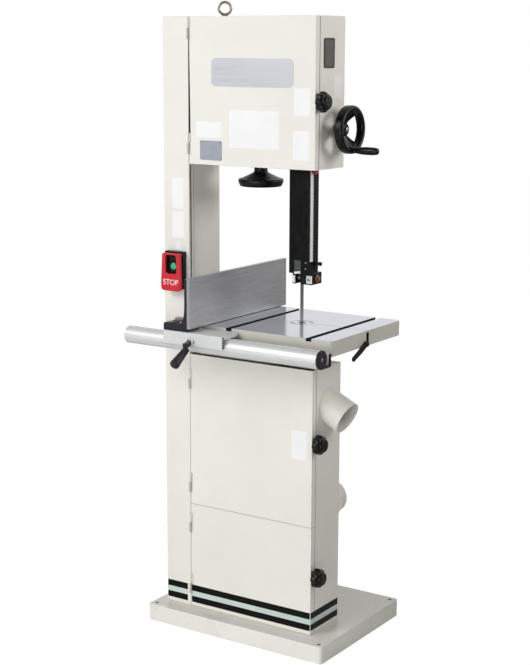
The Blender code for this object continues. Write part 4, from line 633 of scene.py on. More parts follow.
def tension_handwheel():
    first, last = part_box("tension_handwheel")
    x, y = across("tension_handwheel", "Z")
    body = "tension_handwheel"
    outer = (last.x - first.x) / 2
    profile = moved([(0, 0.026), (0.012, 0.026), (0.014, 0.012), (0.024, 0.012), (0.028, 0.018), (0.043, 0.014),
                     (0.051, 0.001), (outer - 0.0064, 0.0005), (outer - 0.0005, 0.0135), (outer, 0.02),
                     (outer - 0.003, 0.0238), (outer - 0.01, 0.025), (0.03, 0.0385), (0.0205, 0.044)], first.z)
    profile += moved([(0.0205, -0.003), (0.0195, -0.0006), (0, -0.0006)], HEAD_LOW)
    corners = [0, 0.002, 0.002, 0.002, 0.003, 0.003, 0.003, 0.003, 0.004,
               0.002, 0.002, 0.006, 0.006, 0.004, 0.001, 0.001, 0]
    wheel = lathe(fillet(profile, corners), "Z", (x, y), 96)
    place("tension_handwheel_moulding", wheel, GLOSS_BLACK, body, ("tension_handwheel",), angle=50)
    stem = [(0, HEAD_LOW - 0.001), (0.008, HEAD_LOW - 0.001), (0.008, last.z - 0.001), (0.007, last.z),
            (0, last.z)]
    place("tension_screw", lathe(stem, "Z", (x, y), 32), SPUN, body, slot="steel")
    set_screw = [(0, 0), (0.0028, 0), (0.0028, 0.005), (0.005, 0.0055), (0.005, 0.01), (0, 0.0105)]
    spot = (Matrix.Translation((x, y, HEAD_LOW - 0.0085)) @ Matrix.Rotation(math.radians(200), 4, "Z")
            @ Matrix.Translation((0.0205, 0, 0)))
    shape = turned_by(lathe(fillet(set_screw, 0.0008), "X", (0, 0), 32), spot)
    place("tension_set_screw", shape, GLOSS_BLACK, body, slot="black")


def spoke(centre, turn, mid, outer):
    """Dished spoke that widens into the rim."""
    hub, thick, steps = 0.012, 0.006, 10
    angle = math.radians(turn)
    shape = bmesh.new()
    rows = []
    for step in range(steps + 1):
        t = step / steps
        reach = hub + (outer - hub - 0.01) * t
        half = 0.012 + 0.023 * t ** 1.6
        back = mid - 0.027 + 0.02 * t ** 1.3
        row = []
        for side, lift in ((-1, 0), (-0.55, thick), (0.55, thick), (1, 0), (0.55, -0.001), (-0.55, -0.001)):
            y = centre[0] + math.cos(angle) * reach - math.sin(angle) * half * side
            z = centre[1] + math.sin(angle) * reach + math.cos(angle) * half * side
            row.append(shape.verts.new((back + lift, y, z)))
        rows.append(row)
    return skinned(shape, rows, False)


def guide_handwheel():
    body = "guide_handwheel"
    first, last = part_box("guide_handwheel")
    centre = (middle("guide_handwheel").y, middle("guide_handwheel").z)
    outer = 0.0695
    mid = RIGHT + 0.047
    section = moved([(outer, -0.012), (outer, 0.01), (outer - 0.004, 0.014), (outer - 0.011, 0.014),
                     (outer - 0.015, 0.008), (outer - 0.015, -0.008), (outer - 0.009, -0.014)], mid)
    hub = [(0, RIGHT + 0.0012), (0.015, RIGHT + 0.0012),
           *moved([(0.02, -0.03), (0.0185, -0.014), (0.015, -0.011), (0, -0.011)], mid)]
    parts = [lathe(fillet(section, 0.005, True, 5), "X", centre, 112, True),
             lathe(fillet(hub, 0.0016), "X", centre, 64)]
    parts += [spoke(centre, turn, mid, outer) for turn in (68.0, 180.0, 292.0)]
    crank = (centre[0], centre[1] - outer + 0.0105)
    boss = moved([(0, -0.002), (0.0095, -0.002), (0.0095, 0.012), (0.007, 0.0142), (0, 0.0142)], mid)
    parts.append(lathe(fillet(boss, 0.0015), "X", crank, 40))
    place("guide_handwheel_moulding", merged(*parts), GLOSS_BLACK, body, ("guide_handwheel",), angle=50)
    shaft = bar("X", centre, 0.005, first.x, mid - 0.012, 32, 0.0006)
    nut = moved([(0, -0.012), (0.0075, -0.012), (0.0075, -0.0075), (0, -0.007)], mid)
    nut = lathe(fillet(nut, 0.001), "X", centre, 6)
    teeth = 8

    def toothed(angle, reach):
        return reach if (angle * teeth / TAU) % 1.0 < 0.5 else reach - 0.0015

    post_left, post_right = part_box("guide_post")
    pinion = bar("X", centre, 0.012, post_left.x + 0.001, post_right.x - 0.001, teeth * 8, radius_at=toothed)
    place("pinion_shaft", merged(shaft, nut, pinion), SPUN, body, slot="steel", angle=30)
    place("crank_pin", bar("X", crank, 0.003, mid + 0.01, last.x, 24), STEEL, body, slot="steel")


def crank_grip():
    first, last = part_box("crank_grip")
    profile = moved([(0.0034, 0), (0.008, 0), (0.0088, 0.003), (0.0074, 0.007), (0.01, 0.018),
                     (0.0115, 0.04)], first.x)
    profile += moved([(0.0112, -0.014), (0.0095, -0.003), (0.006, 0), (0, 0)], last.x)
    shape = lathe(fillet(profile, 0.004), "X", (middle("crank_grip").y, middle("crank_grip").z), 64)
    place("crank_grip_moulding", shape, GLOSS_BLACK, "crank_grip", ("crank_grip",), angle=50)


# ---- wheels, blade and drive
def band_wheels():
    for side in ("upper", "lower"):
        refined(side + "_wheel", IRON, 0.0012, angle=25)
        tire = side + "_tire"
        first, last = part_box(tire)
        outer = (last.x - first.x) / 2
        section = [(outer - 0.003, first.y), (outer - 0.0008, first.y), (outer, first.y + 0.003),
                   (outer, last.y - 0.003), (outer - 0.0008, last.y), (outer - 0.003, last.y)]
        shape = lathe(section, "Y", across(tire, "Y"), 128, True)
        place(tire + "_moulding", shape, RUBBER, side + "_wheel", (tire,))
    refined("lower_shaft", SPUN)


def blade_path():
    """Points of the loop round both wheels with their outward directions, one each 3.2 mm."""
    pitch = 0.0032
    first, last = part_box("blade")
    top, bottom = middle("upper_wheel"), middle("lower_wheel")
    radius = (last.x - first.x) / 2 - 0.0004
    arc_steps = int(math.pi * radius / pitch)
    line_steps = int((top.z - bottom.z) / pitch)
    points = []
    for wheel, following, turn in ((top, bottom, 0), (bottom, top, math.pi)):
        for step in range(arc_steps):
            angle = turn + math.pi * step / arc_steps
            outward = Vector((math.cos(angle), 0, math.sin(angle)))
            points.append((outward * radius + Vector((top.x, 0, wheel.z)), outward))
        outward = Vector((-math.cos(turn), 0, 0))
        for step in range(line_steps):
            height = wheel.z + (following.z - wheel.z) * step / line_steps
            points.append((Vector((top.x + outward.x * radius, 0, height)), outward))
    return points if len(points) % 2 == 0 else points[:-1]


def toothed_blade():
    first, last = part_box("blade")
    half_thickness, tooth_depth, root = 0.00038, 0.0024, first.y + 0.003
    shape = bmesh.new()
    rows = []
    for index, (point, outward) in enumerate(blade_path()):
        tooth = first.y + (0 if index % 2 else tooth_depth)
        corners = ((1, tooth), (1, root), (1, last.y), (-1, last.y), (-1, root), (-1, tooth))
        rows.append([shape.verts.new(point + outward * half_thickness * side + Vector((0, y, 0)))
                     for side, y in corners])
    place("toothed_blade", skinned(shape, rows, True), BLADE, "frame", ("blade",), angle=30)


def drive():
    refined("drive_belt", BELT, 0.0012)
    refined("motor_pulley", SPUN)
    refined("lower_bearing_housing", IRON, 0.0015, angle=25)
    bolt_circle("bearing_bolt", across("lower_bearing_housing", "Y"), BACK, 0.044, 0.005, 0.0045)
    refined("motor", PAINT, 0.001)
    centre, radius = (-0.1003, 0.27), 0.08  # the motor's axis in x and z, and its casing
    end = high("motor").y
    fins = []
    for number in range(26):
        turn = Matrix.Rotation(-math.radians(150 + 240 * number / 25), 4, "Y")
        fin = block((radius - 0.003, BACK + 0.03, -0.001), (radius + 0.0045, BACK + 0.165, 0.001))
        fins.append(turned_by(fin, Matrix.Translation((centre[0], 0, centre[1])) @ turn))
    place("motor_fins", merged(*fins), PAINT, "frame", slot="paint", bevel=0.0004)
    cowl = [(radius + 0.0008, BACK + 0.172), (radius + 0.002, BACK + 0.174), (radius + 0.002, end - 0.004),
            (radius - 0.004, end - 0.0003), (radius - 0.01, end - 0.0003), (radius - 0.01, end - 0.004)]
    place("motor_fan_cowl_edge", lathe(fillet(cowl, 0.002), "Y", centre, 96), PAINT, "frame", slot="paint")
    rings = [0.014 + 0.0115 * ring for ring in range(5)]
    grille = [washer(centre, r + 0.0032, r, "Y", end - 0.0008, end - 0.0001) for r in rings]
    place("motor_fan_grille", merged(*grille), BLACK, "frame", slot="black")


def tension_gear():
    refined("tension_guideway", IRON, 0.001)
    refined("tension_slide", IRON, 0.001)
    first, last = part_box("tension_spring")
    centre = middle("tension_spring")
    wire, turns, steps_a_turn = 0.0017, 7, 28
    radius = (last.x - first.x) / 2 - wire
    shape = bmesh.new()
    rows = []
    for step in range(turns * steps_a_turn + 1):
        t = step / (turns * steps_a_turn)
        risen = min(max((t * turns - 0.75) / (turns - 1.5), 0), 1.0)
        z = first.z + wire + (last.z - first.z - 2 * wire) * risen
        angle = TAU * turns * t
        row = []
        for side in range(8):
            around = TAU * side / 8
            reach = radius + wire * math.cos(around)
            row.append(shape.verts.new((centre.x + reach * math.cos(angle), centre.y + reach * math.sin(angle),
                                        z + wire * math.sin(around))))
        rows.append(row)
    place("tension_spring_coil", skinned(shape, rows, False), SPUN, "frame", ("tension_spring",), angle=60)


# ---- guide post, guard and guides
def height_pointer():
    tip = low("height_pointer")
    wedge = [(tip.x, HEAD_LOW - 0.0002), (tip.x + 0.0105, HEAD_LOW - 0.0002), (tip.x + 0.0105, tip.z + 0.001),
             (tip.x + 0.003, tip.z), (tip.x, tip.z + 0.007)]
    shape = prism(fillet(wedge, 0.001, True), "Y", tip.y, high("height_pointer").y)
    place("height_pointer_wedge", shape, RED, "frame", ("height_pointer",), bevel=0.0004)
    knob = bar("Y", (tip.x + 0.0015, tip.z + 0.0085), 0.0042, tip.y - 0.007, tip.y - 0.0005, 32, 0.0012)
    place("height_pointer_knob", knob, GLOSS_BLACK, "frame", slot="black")


def guide_gear():
    refined("guide_post", STEEL, 0.0005)
    refined("guide_post_bracket", IRON, 0.001)
    height_pointer()
    body = "guide_post"
    first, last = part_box("blade_guard")
    front, right, bottom = first.y, last.x, first.z
    refined("blade_guard", ENAMEL, 0.0004, bend=(first, last, 0.003))
    strip_low, strip_high = bottom + 0.0365, last.z - 0.006
    strip = rounded(0.0165, strip_high - strip_low, 0.0008, (front + 0.0145, (strip_low + strip_high) / 2))
    place("guard_scale_strip", prism(strip, "X", right - 0.0001, right + 0.0003), SCALE, body, slot="black")
    for number, rise in enumerate((0.016, 0.034)):
        spot = (right - 0.0105, front + 0.0001, bottom + rise)
        screw(f"guard_screw_{number}", spot, "Y", -1, 0.0026, 0.0014, STEEL, body)
    middle_x = first.x + 0.0305
    window = rounded(0.0215, 0.03, 0.0006, (middle_x, bottom + 0.0245))
    place("guard_front_window", prism(window, "Y", front - 0.0003, front + 0.0002), GREY_PANE, body, slot="smoke")
    tab = block((-0.0108, 0, -0.0035), (0.0108, 0.003, 0.0035))
    turned_by(tab, Matrix.Translation((middle_x, front - 0.0022, bottom + 0.0035))
              @ Matrix.Rotation(math.radians(-7), 4, "Y"))
    place("guard_front_tab", tab, BRIGHT, body, slot="aluminium", bevel=0.0004)
    clamp = block((right - 0.0002, front + 0.03, bottom + 0.012), (right + 0.002, front + 0.05, bottom + 0.04))
    place("guard_clamp_plate", clamp, ENAMEL, body, slot="black", bevel=0.0005)
    spot = (front + 0.043, bottom + 0.028)
    stem = bar("X", spot, 0.0026, right + 0.001, right + 0.0075, 24, 0.0004)
    place("guard_clamp_stem", stem, STEEL, body, slot="steel")
    knob = moved([(0, 0.007), (0.0042, 0.007), (0.0062, 0.01), (0.006, 0.017), (0, 0.0185)], right)
    place("guard_clamp_knob", lathe(fillet(knob, 0.0016), "X", spot, 40), GLOSS_BLACK, body, slot="black")


def side_guides():
    """Round guides in a split block, with copper-coloured thrust discs and a lock knob."""
    refined("upper_guide_block", BLACK, 0.0008)
    refined("lower_guide_block", BLACK, 0.0008)
    block_low, block_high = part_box("upper_guide_block")
    front, height = block_low.y, (block_low.z + block_high.z) / 2
    centre = (middle("upper_left_guide").y, middle("upper_left_guide").z)
    radius = 0.008
    node = "upper_left_guide"
    near, far = low(node).x, high(node).x
    core = [(0, near), (0.006, near), (radius, near + 0.0015), (radius, far - 0.0012), (radius - 0.0012, far),
            (0, far)]
    place(node + "_turned", lathe(fillet(core, 0.0008), "X", centre, 48), SPUN, BODY_OF[node], (node,))
    disc = bar("X", centre, radius + 0.0002, near + 0.002, near + 0.0055, 48, 0.0003)
    place(node + "_copper_ring", disc, COPPER, BODY_OF[node], slot="steel")

    node = "upper_right_guide"
    near, far = low(node).x, high(node).x
    nut_start = block_high.x + 0.0003
    core = [(0, near), (radius - 0.0012, near), (radius, near + 0.0012), (radius, nut_start - 0.0001),
            (0, nut_start - 0.0001)]
    place(node + "_turned", lathe(fillet(core, 0.0006), "X", centre, 48), SPUN, BODY_OF[node], (node,))
    nut = moved([(0, 0), (0.0098, 0), (0.011, 0.0008), (0.011, 0.0042), (0.0098, 0.005), (0, 0.005)],
                nut_start)

    def knurled(angle, reach):
        return reach if reach < 0.0105 else reach - 0.0004 * (0.5 + 0.5 * math.cos(angle * 36))

    place(node + "_nut", lathe(fillet(nut, 0.0005), "X", centre, 144, radius_at=knurled), COPPER, BODY_OF[node],
          slot="steel", angle=60)
    end = [(0, nut_start + 0.005), (0.006, nut_start + 0.005), (0.006, far - 0.0008), (0.005, far), (0, far)]
    place(node + "_end_knob", lathe(fillet(end, 0.0005), "X", centre, 40), COPPER, BODY_OF[node], slot="steel")

    refined("upper_backup_bearing", SPUN, 0.0004)
    spot = (block_low.x + 0.0235, front + 0.0002, height + 0.002)
    screw("guide_lock_screw_0", spot, "Y", -1, 0.0042, 0.003, COPPER, "guide_post")
    for name, x0, x1, lift, drop in (("left", block_low.x + 0.0002, block_low.x + 0.01, 0.003, 0.009),
                                     ("right", block_high.x - 0.019, block_high.x + 0.0004, 0.004, 0.006)):
        holder = block((x0, front - 0.0022, block_low.z + lift), (x1, front + 0.001, block_high.z - drop))
        place(f"guide_holder_{name}", holder, BRIGHT, "guide_post", slot="aluminium", bevel=0.0012, segments=3)
    spot = (block_high.x - 0.0095, front - 0.002, height - 0.001)
    screw("guide_holder_screw", spot, "Y", -1, 0.005, 0.0022, STEEL, "guide_post")
    cap = bar("X", centre, 0.005, block_low.x - 0.0135, block_low.x - 0.0078, 32, 0.001)
    place("upper_left_guide_knob", cap, GLOSS_BLACK, "upper_left_guide", slot="black")
    x, z = across("lower_guide_block", "Y")
    for number, side in enumerate((-1, 1)):
        spot = (x + side * 0.0085, low("lower_guide_block").y + 0.0002, z)
        screw(f"lower_guide_screw_{number}", spot, "Y", -1, 0.004, 0.003, STEEL, "frame")


# ---- table, rail and fence
def table_top():
    slot_lines = (0.0224, 0.2964)  # x of the two miter slots
    right, blade_y = high("table").x, middle("blade").y

    def faces(face):
        """Ground top, painted sides, or painted shade in the miter slots and the blade entry."""
        centre = face.calc_center_median()
        if face.normal.z > 0.9 and centre.z > TABLE_TOP - 0.0005:
            return 0
        in_slot = any(abs(centre.x - x) < 0.0098 for x in slot_lines) and centre.z > TABLE_TOP - 0.0085
        in_entry = centre.x > right - 0.0125 and abs(centre.y - blade_y) < 0.0072 and abs(face.normal.x) < 0.5
        return 2 if in_slot or in_entry else 1

    refined("table", [GROUND, SKIRT, PAINTED_PIT_SHADE], 0.0007, paint=faces)
    # Dark plate behind the blade entry in the skirt, standing for the shade inside it: painted shade.
    entry_shade = block((right - 0.0135, blade_y - 0.0085, low("table").z + 0.001),
                    (right - 0.0123, blade_y + 0.0085, TABLE_TOP - 0.0125))
    place("skirt_entry_shade", entry_shade, PAINTED_PIT_SHADE, "table", slot="iron")
    first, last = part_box("table_insert")
    x, y = centre = (middle("table_insert").x, middle("table_insert").y)
    radius = (last.x - first.x) / 2
    bottom, top = last.z - 0.0004, last.z + 0.00006
    refined("table_insert", GROUND, 0.0003)
    # Dark rings on the insert and round its edge, and a dark cross slot, standing for the shade in those recesses:
    # painted shade.
    for number, (inner, outer, start, end) in enumerate((
            (0.0272, 0.0302, 25, 155), (0.0272, 0.0302, 205, 335), (radius - 0.0012, radius - 0.0002, 5, 355))):
        ring = circle(centre, inner, start, end, 40) + circle(centre, outer, start, end, 40)[::-1]
        place(f"insert_ring_shade_{number}", prism(ring, "Z", bottom, top), PAINTED_PIT_SHADE, "table", slot="iron")
    arm, half = 0.011, 0.0022
    quarter = [(arm, -half), (arm, half), (half, half)]
    cross = [(x + u * c - v * s, y + u * s + v * c)
             for c, s in ((1, 0), (0, 1), (-1, 0), (0, -1)) for u, v in quarter]
    place("insert_cross_slot_shade", prism(cross, "Z", bottom, top), PAINTED_PIT_SHADE, "table", slot="iron")
    for number, turn in enumerate((35.0, 145.0, 215.0, 325.0)):
        angle = math.radians(turn)
        spot = (x + 0.0225 * math.cos(angle), y + 0.0225 * math.sin(angle))
        place(f"insert_screw_{number}", bar("Z", spot, 0.0022, bottom, top, 24), BLACK, "table", slot="iron")
    # Dark floor under the blade slit, standing for the shade inside it: painted shade.
    slit_shade = block((x + radius + 0.0006, y - 0.001, TABLE_TOP - 0.0022),
                 (right - 0.0012, y + 0.001, TABLE_TOP - 0.002))
    place("table_slit_shade", slit_shade, BLACK, "table", slot="iron")


def under_table():
    refined("table_trunnion", DARK_IRON, 0.0015)
    refined("trunnion_cradle", DARK_IRON, 0.0015)
    refined("table_lock_lever", GLOSS_BLACK, 0.0012, 3, angle=30)


def rail():
    first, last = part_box("front_rail")
    refined("front_rail", BRIGHT, 0.0005, angle=30)
    radius = 0.026
    y, z = centre = (first.y + radius, 0.947)  # the tube's axis
    grooves = []
    for turn in (70.0, 112.0, 196.0):
        angle = math.radians(turn)
        strip = block((0, -0.0004, -0.0004), (last.x - first.x - 0.002, 0.0001, 0.0004))
        spot = Matrix.Translation((first.x + 0.001, y + math.cos(angle) * radius, z + math.sin(angle) * radius))
        grooves.append(turned_by(strip, spot @ Matrix.Rotation(angle - math.pi / 2, 4, "X")))
    place("rail_grooves", merged(*grooves), SATIN, "table", slot="aluminium")
    refined("rail_end_cap", PLUM, 0.001)
    face = high("rail_end_cap").x - 0.0002
    ring = washer(centre, 0.0215, 0.013, "X", face, face + 0.0014)
    place("rail_cap_ring", ring, PLUM, "table", slot="black", bevel=0.0004)
    screw("rail_cap_screw", (face, y, z), "X", 1, 0.0055, 0.0015, STEEL, "table")
    for number, x in enumerate((first.x + 0.06, (first.x + last.x) / 2, last.x - 0.03)):
        spot = (x, last.y - 0.004, first.z + 0.033)
        screw(f"rail_bolt_{number}", spot, "Y", -1, 0.0048, 0.004, STEEL, "table")


def fence_bar():
    """Extrusion with fine lengthwise grooves on both sides and a groove in its top."""
    first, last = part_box("fence")
    pitch, depth = 0.005, 0.0005
    right = []
    z = first.z + 0.004
    while z < last.z - 0.014:
        right += [(last.x, z), (last.x, z + pitch * 0.72), (last.x - depth, z + pitch * 0.76),
                  (last.x - depth, z + pitch * 0.96)]
        z += pitch
    left = [(first.x + (last.x - x), height) for x, height in reversed(right)]
    half_top = ((0, 0.0012), (0.0012, 0), (0.0036, 0), (0.0036, 0.003))
    top = [(last.x - x, last.z - z) for x, z in half_top] + [(first.x + x, last.z - z) for x, z in half_top[::-1]]
    outline = [(last.x, first.z), *right, *top, *left, (first.x, first.z)]
    place("fence_extrusion", prism(outline, "Y", first.y, last.y), SATIN, "fence", ("fence",))
    strip = block((first.x + 0.0006, high("fence_bracket").y + 0.004, first.z - 0.0009),
                  (last.x - 0.0004, last.y - 0.002, first.z + 0.003))
    place("fence_glide_strip", strip, BLACK, "fence", slot="black")
    for number, y in enumerate((first.y + 0.02, first.y + 0.045)):
        spot = (first.x + 0.0003, y, first.z + 0.075)
        screw(f"fence_screw_{number}", spot, "X", -1, 0.0048, 0.004, STEEL, "fence")


def bracket_and_carriage():
    first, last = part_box("fence_bracket")
    edge, foot = last.x, first.z
    outline = [(first.x, foot), (edge, foot), (edge, last.z), (edge - 0.0085, last.z), (edge - 0.0095, last.z - 0.095)]
    outline += [(edge - x, foot + z) for x, z in ((0.012, 0.042), (0.017, 0.029), (0.025, 0.0225), (0.04, 0.0215),
                                                  (0.044, 0.0255), (edge - first.x, 0.0215))]
    corners = [0.002, 0, 0.002, 0.002, 0.02, 0.012, 0.012, 0.008, 0.003, 0.003, 0.003]
    casting = prism(fillet(outline, corners, True), "Y", first.y, last.y)
    place("fence_bracket_casting", casting, PLUM, "fence", ("fence_bracket",), bevel=0.0008)
    plate = block((first.x + 0.004, last.y - 0.012, foot + 0.0205), (edge - 0.046, last.y - 0.001, foot + 0.03))
    place("bracket_wear_plate", plate, SATIN, "fence", slot="aluminium", bevel=0.0006)
    for number, x in enumerate((edge - 0.028, edge - 0.06)):
        spot = (x, first.y + 0.012, foot + 0.0218)
        screw(f"bracket_bolt_{number}", spot, "Z", 1, 0.0052, 0.005, STEEL, "fence")
    refined("fence_carriage", BRIGHT, 0.001)
    first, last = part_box("fence_carriage")
    tops = [last.z - 0.003 - number * 0.0068 for number in range(5)]
    ribs = [block((last.x - 0.0002, first.y + 0.0105, z - 0.0042), (last.x + 0.0012, first.y + 0.0195, z))
            for z in tops]
    place("carriage_end_cover", merged(*ribs), PLUM, "fence", slot="black", bevel=0.0004)


def lock_handle():
    """Cam lever: pivot between two ears, drooping grip with a collar and fine rings."""
    pivot = Vector((-0.051, -0.3763, 0.9573))
    droop = math.radians(32)
    cam = bar("X", (pivot.y, pivot.z), 0.0046, pivot.x - 0.009, pivot.x + 0.009, 40, 0.0006)
    neck = [(-0.003, 0.0042), (-0.02, 0.0005), (-0.027, 0.001), (-0.027, -0.012), (-0.016, -0.012),
            (-0.001, -0.0043)]
    neck = turned_by(prism(fillet(neck, 0.002, True), "X", -0.007, 0.007), Matrix.Translation(pivot))
    grip = [(0, 0.02), (0.0062, 0.02), (0.0105, 0.023), (0.0105, 0.0275)]
    for number in range(4):
        ring, radius = 0.0275 + number * 0.0052, 0.0107 + number * 0.0003
        grip += moved([(0.0092, 0.0008), (0.0092, 0.0016), (radius, 0.0024), (radius, 0.0044)], ring)
    grip += [(0.0128, 0.066), (0.0145, 0.085), (0.014, 0.0915), (0.01, 0.0952), (0, 0.096)]
    turn = Matrix.Rotation(droop, 4, "X") @ Matrix.Scale(-1, 4, (0, 1, 0))
    shape = turned_by(lathe(grip, "Y", (0, 0), 72), Matrix.Translation(pivot - Vector((0, 0, 0.006))) @ turn)
    handle = merged(cam, neck, finish_shape(shape))
    place("lock_handle_casting", handle, PLUM, "fence_lock_handle", ("fence_lock_handle",), bevel=0.0005, angle=45)


# ---- switch
def paddle(first, last):
    x, foot = (first.x + last.x) / 2, first.z
    outer = [(x - 0.0375, foot), (x + 0.0375, foot), (x + 0.0375, foot + 0.03), (x + 0.0335, last.z),
             (x - 0.0325, last.z), (x - 0.0375, foot + 0.03)]
    inner = [(x - 0.0205, foot + 0.053), (x + 0.0205, foot + 0.053), (x + 0.0205, foot + 0.083),
             (x + 0.019, last.z - 0.0055), (x - 0.019, last.z - 0.0055), (x - 0.0205, foot + 0.083)]
    outer = fillet(outer, [0.013, 0.013, 0.02, 0.008, 0.008, 0.02], True, 6)
    inner = fillet(inner, [0.009, 0.009, 0.01, 0.006, 0.006, 0.01], True, 6)
    shape = framed(outer, inner, "Y", first.y, first.y + 0.0095)
    place("switch_paddle_moulding", shape, RED, "switch_paddle", ("switch_paddle",), None, 0.0016, 3, 40)
    arms = [block((x + side * 0.0285 - 0.0035, first.y + 0.009, last.z - 0.0085),
                  (x + side * 0.0285 + 0.0035, last.y - 0.0002, last.z - 0.0005)) for side in (-1, 1)]
    place("switch_paddle_arms", merged(*arms), RED, "switch_paddle", slot="red", bevel=0.0008)


def stop_word(x, y, z):
    lettering = bpy.data.curves.new("stop_word", "FONT")
    lettering.body = "STOP"
    lettering.size = 0.024
    lettering.align_x = lettering.align_y = "CENTER"
    lettering.extrude = 0.00012
    word = bpy.data.objects.new("stop_word", lettering)
    bpy.context.scene.collection.objects.link(word)
    word.location = (x, y, z)
    word.rotation_euler = (math.radians(90), 0, 0)
    bpy.context.view_layer.update()
    depsgraph = bpy.context.evaluated_depsgraph_get()
    mesh = bpy.data.meshes.new_from_object(word.evaluated_get(depsgraph))
    mesh.transform(word.matrix_world)
    bpy.data.objects.remove(word)
    letters = bpy.data.objects.new("stop_lettering", mesh)
    bpy.context.scene.collection.objects.link(letters)
    mesh.materials.clear()
    mesh.materials.append(LABEL)
    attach(letters, "switch_paddle")


def switch():
    refined("switch_box", BLACK, 0.0012)
    first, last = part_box("switch_paddle")
    paddle(first, last)
    button = middle("start_button")
    centre = (button.x, button.z)
    face, back = low("start_button").y, high("start_button").y
    profile = [(0, face), (0.007, face + 0.0002), (0.0108, face + 0.0016), (0.012, face + 0.004), (0.012, back),
               (0, back)]
    shape = lathe(fillet(profile, 0.0015), "Y", centre, 64)
    place("start_button_moulding", shape, GREEN, "start_button", ("start_button",))
    box = low("switch_box")
    bezel = washer(centre, 0.0155, 0.0126, "Y", box.y - 0.0012, box.y + 0.0002, 48)
    place("start_button_bezel", bezel, BLACK, "frame", slot="black", bevel=0.0004)
    x = (first.x + last.x) / 2
    stop_word(x, first.y - 0.00004, first.z + 0.0265)
    for number, side in enumerate((-1, 1)):
        spot = (x + side * 0.024, box.y + 0.0006, box.z + 0.006)
        screw(f"switch_box_screw_{number}", spot, "Y", -1, 0.0028, 0.0012, STEEL, "frame")


# ---- base fittings
def anchor_holes():
    """Dark discs sunk in the anchor holes, standing for the shade inside them: painted shade."""
    first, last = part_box("base")
    inset = 0.02
    hole_shades = [bar("Z", (x, y), 0.0059, last.z - 0.003, last.z - 0.0012)
             for x in (first.x + inset, last.x - inset) for y in (first.y + inset, last.y - inset)]
    place("anchor_hole_shade", merged(*hole_shades), PAINTED_PIT_SHADE, "frame", slot="paint")


for build in (sheet_body, door_seams, labels, stripes, hinges, windows, eye_bolt, dust_ports, door_knobs,
              tension_handwheel, guide_handwheel, crank_grip, band_wheels, toothed_blade, drive, tension_gear,
              guide_gear, side_guides, table_top, under_table, rail, fence_bar, bracket_and_carriage, lock_handle,
              switch, anchor_holes):
    build()


# ---- stage, light and camera
WHITE = (1.0, 1.0, 1.0, 1.0)
WARM = (1.0, 0.985, 0.96, 1.0)
AMBIENT = 0.26
REFLECTED_ROOM = 0.22
REFLECTED_BACKDROP = 1.0
FLOOR_GREY = (0.8, 0.8, 0.8, 1.0)


def light_path(tree):
    """The light path's sockets, and whether a ray comes from the camera, straight or through glass."""
    path = add_node(tree, "LightPath").outputs
    seen = add_node(tree, "Math", (0, path["Is Camera Ray"]), (1, path["Is Transmission Ray"]), operation="MAXIMUM")
    return path, seen.outputs[0]


def choose(tree, factor, first, second):
    links = enumerate((factor, first.outputs[0], second.outputs[0]))
    return add_node(tree, "MixShader", *links)


def world_light():
    world = bpy.data.worlds.new("Studio")
    bpy.context.scene.world = world
    world.use_nodes = True
    tree = world.node_tree
    tree.nodes.clear()
    path, seen = light_path(tree)
    coords = add_node(tree, "TexCoord")
    parts = add_node(tree, "SeparateXYZ", (0, coords.outputs["Generated"]))
    behind = add_node(tree, "MapRange", ("Value", parts.outputs["Y"]), From_Min=-0.15, From_Max=0.45,
                      To_Min=REFLECTED_ROOM, To_Max=REFLECTED_BACKDROP)
    backdrop = add_node(tree, "Background", ("Strength", behind.outputs[0]), Color=WHITE)
    ambient = add_node(tree, "Background", Color=WARM, Strength=AMBIENT)
    lit = choose(tree, path["Is Glossy Ray"], ambient, backdrop)
    shown = choose(tree, seen, lit, add_node(tree, "Background", Color=WHITE, Strength=1.0))
    add_node(tree, "OutputWorld", (0, shown.outputs[0]))


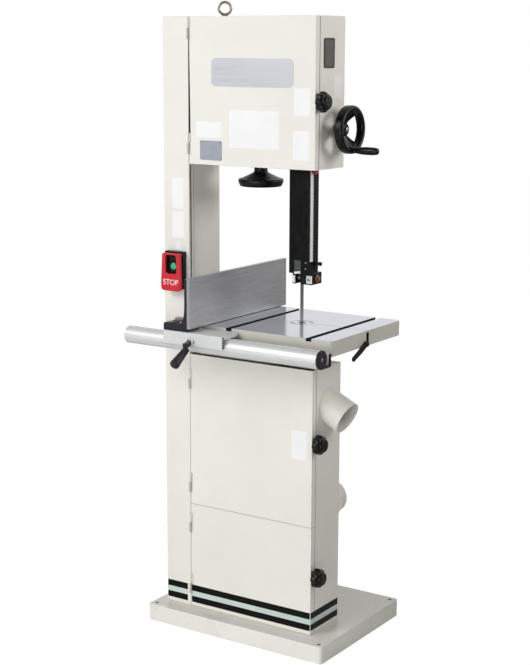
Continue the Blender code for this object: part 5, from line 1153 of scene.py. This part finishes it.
def floor():
    material = bpy.data.materials.new("floor")
    material.use_nodes = True
    tree = material.node_tree
    shader = tree.nodes["Principled BSDF"]
    shader.inputs["Base Color"].default_value = FLOOR_GREY
    shader.inputs["Roughness"].default_value = 0.9
    share = add_node(tree, "Math", (0, light_path(tree)[1]), (1, 0.8), operation="MULTIPLY")
    glow = add_node(tree, "Emission", Color=WHITE, Strength=1.2)
    mix = choose(tree, share.outputs[0], shader, glow)
    tree.links.new(mix.outputs[0], tree.nodes["Material Output"].inputs["Surface"])
    reach, height = 30, -0.0005
    mesh = bpy.data.meshes.new("floor")
    corners = [(reach * x, reach * y, height) for x, y in ((-1, -1), (1, -1), (1, 1), (-1, 1))]
    mesh.from_pydata(corners, [], [(0, 1, 2, 3)])
    mesh.materials.append(material)
    item = bpy.data.objects.new("floor", mesh)
    bpy.context.scene.collection.objects.link(item)


def area(name, place_at, aim, width, height, power, colour=(1, 1, 1), spread=180):
    data = bpy.data.lights.new(name, "AREA")
    data.shape = "RECTANGLE"
    data.size, data.size_y = width, height
    data.energy = power
    data.color = colour
    data.spread = math.radians(spread)
    item = bpy.data.objects.new(name, data)
    bpy.context.scene.collection.objects.link(item)
    item.location = place_at
    item.rotation_euler = (Vector(aim) - Vector(place_at)).to_track_quat("-Z", "Y").to_euler()


def camera():
    data = bpy.data.cameras.new("camera")
    data.lens = 79.94
    data.sensor_width = 36
    data.clip_end = 100
    yaw, pitch, roll = math.radians(33.34), math.radians(10.94), math.radians(0.22)
    forward = Vector((-math.sin(yaw) * math.cos(pitch), math.cos(yaw) * math.cos(pitch), -math.sin(pitch)))
    right = Vector((math.cos(yaw), math.sin(yaw), 0.0))
    up = right.cross(forward)
    right, up = math.cos(roll) * right + math.sin(roll) * up, -math.sin(roll) * right + math.cos(roll) * up
    turn = Matrix((right, up, -forward)).transposed().to_4x4()
    item = bpy.data.objects.new("camera", data)
    bpy.context.scene.collection.objects.link(item)
    item.matrix_world = Matrix.Translation((2.442, -3.77, 1.8)) @ turn
    bpy.context.scene.camera = item


world_light()
floor()
area("key", (-1.7, -3.6, 3.4), (0, -0.1, 1.0), 2.2, 2.2, 92, (0.985, 0.992, 1.0))
area("front_fill", (0.4, -4.4, 0.8), (0, 0, 0.6), 2.6, 1.6, 56)
area("right_fill", (2.8, 0.9, 2.5), (0.2, 0, 1.8), 1.4, 1.4, 8.5, (1.0, 0.985, 0.96), 80)
camera()

scene = bpy.context.scene
scene.view_settings.view_transform = "Standard"
